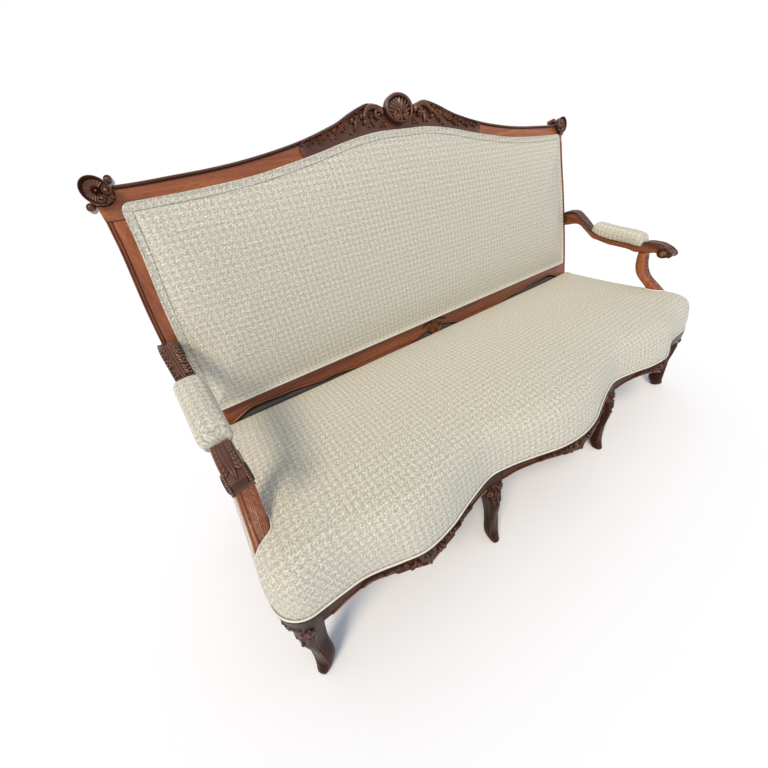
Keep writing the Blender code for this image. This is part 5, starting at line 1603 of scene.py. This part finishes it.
def railLow(x, start, end):
    share = (x - start) / (end - start)
    low = lines["frontLow"] - railShape["show"] * curveAt(railShowTable, share)
    scallop = 0.0022 * math.cos(2 * math.pi * 9 * share) * math.exp(-((share - 0.5) / 0.16) ** 2)
    return low + scallop


def seatNormal(x):  # plan direction out of the seat's front
    slope = (seatLine(x + 0.002) - seatLine(x - 0.002)) / 0.004
    return Vector((slope, -1)).normalized()


def beadAt(face, low):  # the bead along a rail's lower edge
    b, tall = railShape["bead"], railShape["beadTall"]
    return [(face - b * 0.5 + b * c * 1.25, low + tall * (0.45 + 0.42 * s)) for c, s in arc(-75, 75, 8)]


def railSection(x, start, end, square):
    low, step, skirt = railLow(x, start, end), lines["frontLow"] - 0.0004, -railShape["skirt"]
    n = Vector((0, -1)) if square else seatNormal(x)
    b, tall, reach = railShape["bead"], railShape["beadTall"], railShape["reach"]
    points = [(-railShape["thick"], low), (reach - 0.002, low), (reach + b * 0.1, low + tall * 0.04)]
    points += beadAt(reach, low)
    points += [(reach - b * 0.55, low + tall * 0.92), (reach - b * 0.5, low + tall), (reach, low + tall * 1.12),
               (reach, (low + step) / 2), (reach, step - 0.001), (reach - 0.001, step), (skirt, step),
               (skirt, lines["railTop"]), (-railShape["thick"], lines["railTop"])]
    return [place(x + n.x * max(d, 0), seatLine(x) + (n.y * d if d > 0 else -d), z) for d, z in points]


spans = {
    "Centre": (-(innerLeg - innerHalf - 0.0004), innerLeg - innerHalf - 0.0004, "front_rail_centre"),
    "Right": (innerLeg + innerHalf + 0.0004, railShape["legInner"] - 0.0004, "front_rail_right")}
frontRails = {}
for label, (start, end, node) in spans.items():
    places = evenly(start, end, 170)
    rings = [railSection(x, start, end, i in (0, 170)) for i, x in enumerate(places)]
    frontRails[label] = skinRings("frontRail" + label, rings)
    toneBy(frontRails[label], lambda co: 0.15)
frontRails["Left"] = mirrorOf(frontRails["Right"], "frontRailLeft")
for label, ob in frontRails.items():
    dress(ob, deepX, ["front_rail_" + label.lower()], sharp=36)

railCarving = newCarving()


def carveRailMiddle(parts, middle, start, end, side=1):
    def onRailFace(u, v, h):  # along the rail, and up from the middle of its own height there
        x = middle + u
        n = seatNormal(x)
        low = railLow(x, start, end)
        tall = lines["frontLow"] - 0.002 - low
        z = low + tall * (0.5 + max(-0.47, min(0.47, v / railShape["show"])))
        reach = railShape["reach"] + h
        p = place(x + n.x * reach, seatLine(x) + n.y * reach, z)
        return Vector((side * p.x, p.y, p.z))

    acanthus(parts, onRailFace, [(0, 0.016), (0, 0.0), (0, -0.019)], 0.0120, 0.0100, 2)
    for way in (1, -1):
        volute(parts, onRailFace, (way * 0.030, 0.003), (0.0110, 0.003, 90, -1.2 * way), (0.0042, 0.0025), 0.0085,
               (0.0042, 0.0080))
        for spine, wide, pairs in (([(0.036, -0.010), (0.056, -0.008), (0.084, -0.012)], 0.0105, 2),
                                   ([(0.048, 0.008), (0.078, 0.004), (0.112, -0.006)], 0.0105, 3),
                                   ([(0.106, 0.006), (0.132, 0.002), (0.164, -0.008)], 0.0100, 3)):
            acanthus(parts, onRailFace, [(way * u, v) for u, v in spine], wide, 0.0080, pairs)


carveRailMiddle(railCarving, 0.0, *spans["Centre"][:2])
rightMiddle = (spans["Right"][0] + spans["Right"][1]) / 2
carveRailMiddle(railCarving, rightMiddle, *spans["Right"][:2])
carveRailMiddle(railCarving, rightMiddle, *spans["Right"][:2], side=-1)
dress(carvingObject("railLeaves", railCarving), carvedDeep)

# bead along the lower edge of the front rails, over to the legs, lightened as a painted highlight
beadShape = {"radius": 0.0021, "up": 0.0034, "out": 0.0010}
railBeads = []
for start, end in (spans["Centre"][:2], spans["Right"][:2]):
    path = []
    for x in evenly(start + 0.002, end - 0.002, 150):
        n, reach = seatNormal(x), railShape["reach"] + beadShape["out"]
        path.append(place(x + n.x * reach, seatLine(x) + n.y * reach, railLow(x, start, end) + beadShape["up"]))
    railBeads.append(tubeAlong("railBead", path, beadShape["radius"], 10))
railBeads.append(mirrorOf(railBeads[1], "railBead"))
railEdgeBeads = joined("railEdgeBeads", railBeads)
toneBy(railEdgeBeads, lambda co: 1.0)
dress(railEdgeBeads, edgePaintedHighlight, sharp=60)


def makeSideRail():
    low, step, top = lines["frontLow"] - railShape["show"] * 0.72, lines["frontLow"] - 0.0004, lines["railTop"]
    b, tall = railShape["bead"], railShape["beadTall"]
    rings = []
    for y in evenly(cornerY + 0.0073, 0.0177, 60):
        face = seatSideAt(y) + railShape["reach"]
        hidden, inner = face - railShape["reach"] - railShape["skirt"] - 0.0003, face - railShape["reach"] - 0.061
        points = [(inner, low), (face - 0.002, low)] + beadAt(face, low) + [
            (face - b * 0.55, low + tall * 0.92), (face, low + tall * 1.12), (face, step - 0.001),
            (face - 0.001, step), (hidden, step), (hidden, top), (inner, top)]
        rings.append([place(x, y, z) for x, z in points])
    return skinRings("sideRailRight", rings)


sideRailRight = makeSideRail()
toneBy(sideRailRight, lambda co: 0.15)
dressPair(sideRailRight, polishY, "side_rail", 36)

print("legs")
cabrioleTable = (  # height, reach, along and across the heading
    (1.0, 0.0, 1.02, 1.10), (0.93, 0.03, 0.96, 1.04), (0.81, 0.2, 0.86, 0.80), (0.67, 0.33, 0.78, 0.58),
    (0.52, 0.39, 0.63, 0.49), (0.37, 0.44, 0.50, 0.56), (0.23, 0.48, 0.48, 0.62), (0.125, 0.54, 0.51, 0.57),
    (0.055, 0.66, 0.50, 0.46), (0.016, 0.75, 0.46, 0.36), (0.0, 0.7, 0.42, 0.31))
legLooks = {
    "Outer": {"centre": (0.842, seatLine(seatStraight) + 0.047), "heading": math.radians(-37), "toe": 0.072,
              "knee": 0.042, "hidden": 0.030},
    "Inner": {"centre": None, "heading": math.radians(-90), "toe": 0.063, "knee": 0.034, "hidden": 0.0172}}
cabrioleUp = sorted(cabrioleTable)


def outerBlock(distance):
    inner = railShape["legInner"]
    rear = cornerY + 0.007
    across, along = lines["seatCornerAcross"] - distance, lines["seatCornerAlong"] - distance
    corner = [(seatStraight + across * math.sin(a), cornerY - along * math.cos(a))
              for a in evenly(0, math.pi / 2, 24)]
    plan = [(inner, y) for y in evenly(rear, seatLine(inner) - (-distance), 14)]
    plan += [(x, seatLine(x) + distance) for x in evenly(inner, seatStraight, 5)[1:-1]] + corner
    plan += [(corner[-1][0], rear)] + [(x, rear) for x in evenly(corner[-1][0], inner, 14)[1:-1]]
    return plan


def innerBlock(distance):
    low, high = innerLeg - innerHalf, innerLeg + innerHalf
    rear = min(seatLine(low), seatLine(high)) + railShape["thick"]
    front = [(x, seatLine(x) + distance) for x in evenly(low, high, 18)]
    plan = [(low, y) for y in evenly(rear, front[0][1], 12)[:-1]] + front
    plan += [(high, y) for y in evenly(front[-1][1], rear, 12)[1:-1]]
    return plan + [(x, rear) for x in evenly(high, low, 14)[:-1]]


legLooks["Inner"]["centre"] = (innerLeg, (seatLine(innerLeg) - railShape["reach"]
                                          + min(seatLine(innerLeg - innerHalf), seatLine(innerLeg + innerHalf))
                                          + railShape["thick"]) / 2)


legColumns = {k: column(cabrioleUp, k) for k in (1, 2, 3)}


def cabriolePoint(look, angle, height, grow=0.0, power=2.6):
    reach, along, across = (curveAt(legColumns[k], height) for k in (1, 2, 3))
    x = look["centre"][0] + look["toe"] * reach * math.cos(look["heading"])
    y = look["centre"][1] + look["toe"] * reach * math.sin(look["heading"])
    a = math.cos(angle - look["heading"]) / (look["knee"] * along + grow)
    b = math.sin(angle - look["heading"]) / (look["knee"] * across + grow)
    radius = (abs(a) ** power + abs(b) ** power) ** (-1 / power)
    return place(x + radius * math.cos(angle), y + radius * math.sin(angle), lines["legTop"] * height)


def makeLeg(name, look, block):
    rings = []
    cx, cy = look["centre"]
    for distance, level in ((look["hidden"], lines["railTop"]), (look["hidden"], lines["frontLow"] - 0.0004),
                            (-railShape["reach"] + 0.001, lines["frontLow"] - 0.0006),
                            (-railShape["reach"], lines["frontLow"] - 0.0016)):
        rings.append([place(x, y, level) for x, y in block(distance)])
    plan = np.array(block(-railShape["reach"]))
    angles = [math.atan2(y - cy, x - cx) for x, y in plan]
    knee = [cabriolePoint(look, a, 0.84) for a in angles]
    for share in evenly(0, 1, 16):
        level = lines["legTop"] * (1 - 0.16 * share)
        soft, quick = share * share * (3 - 2 * share), math.sqrt(1 - (1 - share) ** 2)
        ring = []
        for (x, y), c, a in zip(plan, knee, angles):
            front = min(max((math.cos(a - look["heading"]) + 0.1) / 0.8, 0), 1)
            p = place(x, y, level).lerp(c, soft * front + quick * (1 - front))
            ring.append(Vector((p.x, p.y, level)))
        rings.append(ring)
    for height in evenly(0.83, 0.0, 64):
        rings.append([cabriolePoint(look, a, height) for a in angles])
    return skinRings(name, rings)


for kind, block in (("Outer", outerBlock), ("Inner", innerBlock)):
    look = legLooks[kind]
    leg = makeLeg("frontLeg" + kind + "Right", look, block)
    toneBy(leg, lambda co: 0.2)
    dressPair(leg, deepZ, "front_leg_" + kind.lower(), 36)
    tree = BVHTree.FromPolygons([v.co.copy() for v in leg.data.vertices],
                                [tuple(p.vertices) for p in leg.data.polygons])
    top = lines["legTop"]

    def onLeg(u, z, h, look=look, tree=tree):  # round the leg from its heading and up, in metres
        turn = look["heading"] + u / (look["knee"] * 0.8)
        height = min(max(z / lines["legTop"], 0.004), 1.0)
        reach = look["toe"] * curveAt(legColumns[1], height)
        axis = place(look["centre"][0] + reach * math.cos(look["heading"]),
                     look["centre"][1] + reach * math.sin(look["heading"]), lines["legTop"] * height)
        out = Vector((math.cos(turn), math.sin(turn), 0))
        hit = tree.ray_cast(axis + out * 0.15, -out)[0]
        return (hit or axis) + out * h

    work, beads = newCarving(), newCarving()
    wide = look["knee"] / 0.042
    acanthus(work, onLeg, [(0, top * 0.99), (0, top * 0.90), (0, top * 0.76)], 0.0105 * wide, 0.0050, 2)
    button(work, onLeg, (0, top * 0.715), 0.0050 * wide, 0.0048)
    for way in (1, -1):
        volute(work, onLeg, (way * 0.0185 * wide, top * 0.925), (0.0105 * wide, 0.0025, 90, -1.25 * way),
               (0.0036 * wide, 0.0022 * wide), 0.0050, (0.0040 * wide, 0.0050), 44, 8)
        acanthus(work, onLeg, [(way * 0.012 * wide, top * 0.87), (way * 0.015 * wide, top * 0.82),
                               (way * 0.013 * wide, top * 0.74)], 0.0065 * wide, 0.0036, 2)
        edge = way * 0.0315 * wide
        stem(beads, onLeg, [(edge, top * 0.90), (edge, top * 0.6), (edge, top * 0.3), (edge * 0.86, top * 0.06)],
             0.0019, 0.0017, 0.0030, 80, 6)
        for z in evenly(0.05, 0.44, 13):  # gadroons beside the bead, down to the toe
            button(beads, onLeg, (edge * 0.84, top * z), 0.0030, 0.0026, 4, 10)
    for k in range(7):  # ribs on the toe's scroll
        u = (k - 3) * 0.0072 * wide
        stem(work, onLeg, [(u, top * 0.018), (u, top * 0.06), (u * 0.9, top * 0.13)], 0.0028, 0.0018, 0.0026, 18, 6)
    dressPair(carvingObject("legEdgeBeads" + kind + "Right", beads), carvedDeep, sharp=60)
    dressPair(carvingObject("kneeCarving" + kind + "Right", work), carvedDeep)

print("hidden frame")
hiddenFinishes = {
    "hessian": hessianCloth, "web": webCloth, "spring": springSteel, "bottom_cloth": bottomCloth,
    "block": sawnTimber, "bearer": sawnTimber, "rear_seat_rail": polishX}
for name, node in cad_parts.items():
    if node.hide_render:
        continue
    finish = next((m for key, m in hiddenFinishes.items() if key in name), None)
    if finish:
        node.data.materials.clear()
        node.data.materials.append(finish)


def makeOutsideBack():
    # the plain cover on the outside of the back, with its gimp
    low = -(lines["frameDepth"] + 0.0006)
    corner = panelEdge(lines["jointV"]) - lines["frameLip"] / 2 - 0.001
    half = [(x, lines["frameLip"] / 2) for x in evenly(0, panelEdge(0.01) - lines["frameLip"] / 2, 60)]
    half += [(panelEdge(v) - lines["frameLip"] / 2, v) for v in evenly(0.012, lines["jointV"], 50)]
    half += [(x, panelTop(x) - lines["frameLip"] / 2) for x in evenly(corner, 0, 80)]
    loop = bothSides(half, 300)
    core = coreOf(loop, 0.6, 0.28)
    rings = [backRing(loop + (core - loop) * share, low - out) for share, out in (
        (hemShare, 0.0), (0.0, 0.0), (0.0, 0.0016), (0.01, 0.0026), (0.05, 0.0032), (0.15, 0.0040), (0.4, 0.0046),
        (0.7, 0.0048), (0.96, 0.0048))]
    return coverOf("outsideBack", rings), backRing(insetLoop(loop, 0.004), low - 0.0022)


outsideBack, coverEdge = makeOutsideBack()
clothMap(outsideBack, lambda co: backLocal(co)[:2])
dress(outsideBack, checkCloth, ["outside_back_cover"])
coverGimp = gimpAlong("outsideGimp", coverEdge, closed=True)
dress(coverGimp, gimpCloth, sharp=60)

# Floor, light and camera
stageLook = {"floor": "#f1f5ff", "seen": 1.13, "world": 0.62, "sky": "#dfedff", "sun": 1.92, "sunColour": "#ffeed8",
             "sunAngle": 24.0, "sunFrom": (-0.62, -0.42, 0.86)}
floorMesh = meshOf("floor", [(-30, -30, 0), (30, -30, 0), (30, 30, 0), (-30, 30, 0)], [(0, 1, 2, 3)])
floor = objectOf("floor", floorMesh)
floorPaint, tree, shader = newMaterial("paleStudioFloor")


def seenDirectly(tree):  # by the camera, in gloss or through glass
    rays = add(tree, "LightPath").outputs
    maths = mathsIn(tree)
    return maths("MAXIMUM", maths("MAXIMUM", rays["Is Camera Ray"], rays["Is Glossy Ray"]),
                 rays["Is Transmission Ray"])


# the camera and gloss see a brighter white than the floor throws back, and its shadow stays deep
paint = blend(tree, seenDirectly(tree), stageLook["floor"], (stageLook["seen"],) * 3 + (1.0,))
floorDiffuse = add(tree, "BsdfDiffuse", {"Color": paint})
feed(tree, tree.nodes["Material Output"].inputs["Surface"], floorDiffuse.outputs[0])
tree.nodes.remove(shader)
floorMesh.materials.append(floorPaint)
floor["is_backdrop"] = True

world = bpy.data.worlds.new("studio")
bpy.context.scene.world = world
world.use_nodes = True
tree = world.node_tree
back = tree.nodes["Background"]
seen = seenDirectly(tree)
feed(tree, back.inputs["Strength"], mapped(tree, seen, stageLook["world"], 1.0))  # plain white where it is seen
feed(tree, back.inputs["Color"], blend(tree, seen, stageLook["sky"], "#ffffff"))
sunData = bpy.data.lights.new("softSun", "SUN")
sunData.energy = stageLook["sun"]
sunData.angle = math.radians(stageLook["sunAngle"])
sunData.color = hexColour(stageLook["sunColour"])[:3]
sun = objectOf("softSun", sunData)
sun.rotation_mode = "QUATERNION"
sun.rotation_quaternion = Vector(stageLook["sunFrom"]).to_track_quat("Z", "Y")

cameraLook = {
    "sensorMm": 36, "lensMm": 13.5735, "near": 0.01, "at": (-0.734926, -0.858604, 1.002912),
    "axes": ((0.83120, -0.53755, -0.14195), (0.41555, 0.43106, 0.80094), (-0.36935, -0.72473, 0.58167)),
}
cameraData = bpy.data.cameras.new("photoCamera")
cameraData.sensor_width = cameraLook["sensorMm"]
cameraData.lens = cameraLook["lensMm"]
cameraData.clip_start = cameraLook["near"]
camera = objectOf("photoCamera", cameraData)
turn = Matrix(cameraLook["axes"]).transposed().to_4x4()
turn.translation = place(*cameraLook["at"])
camera.matrix_world = turn
bpy.context.scene.camera = camera
bpy.context.scene.view_settings.view_transform = "Standard"

bpy.context.view_layer.update()
total = 0
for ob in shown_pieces():
    ob.data.calc_loop_triangles()
    total += len(ob.data.loop_triangles)
print("triangles", total)
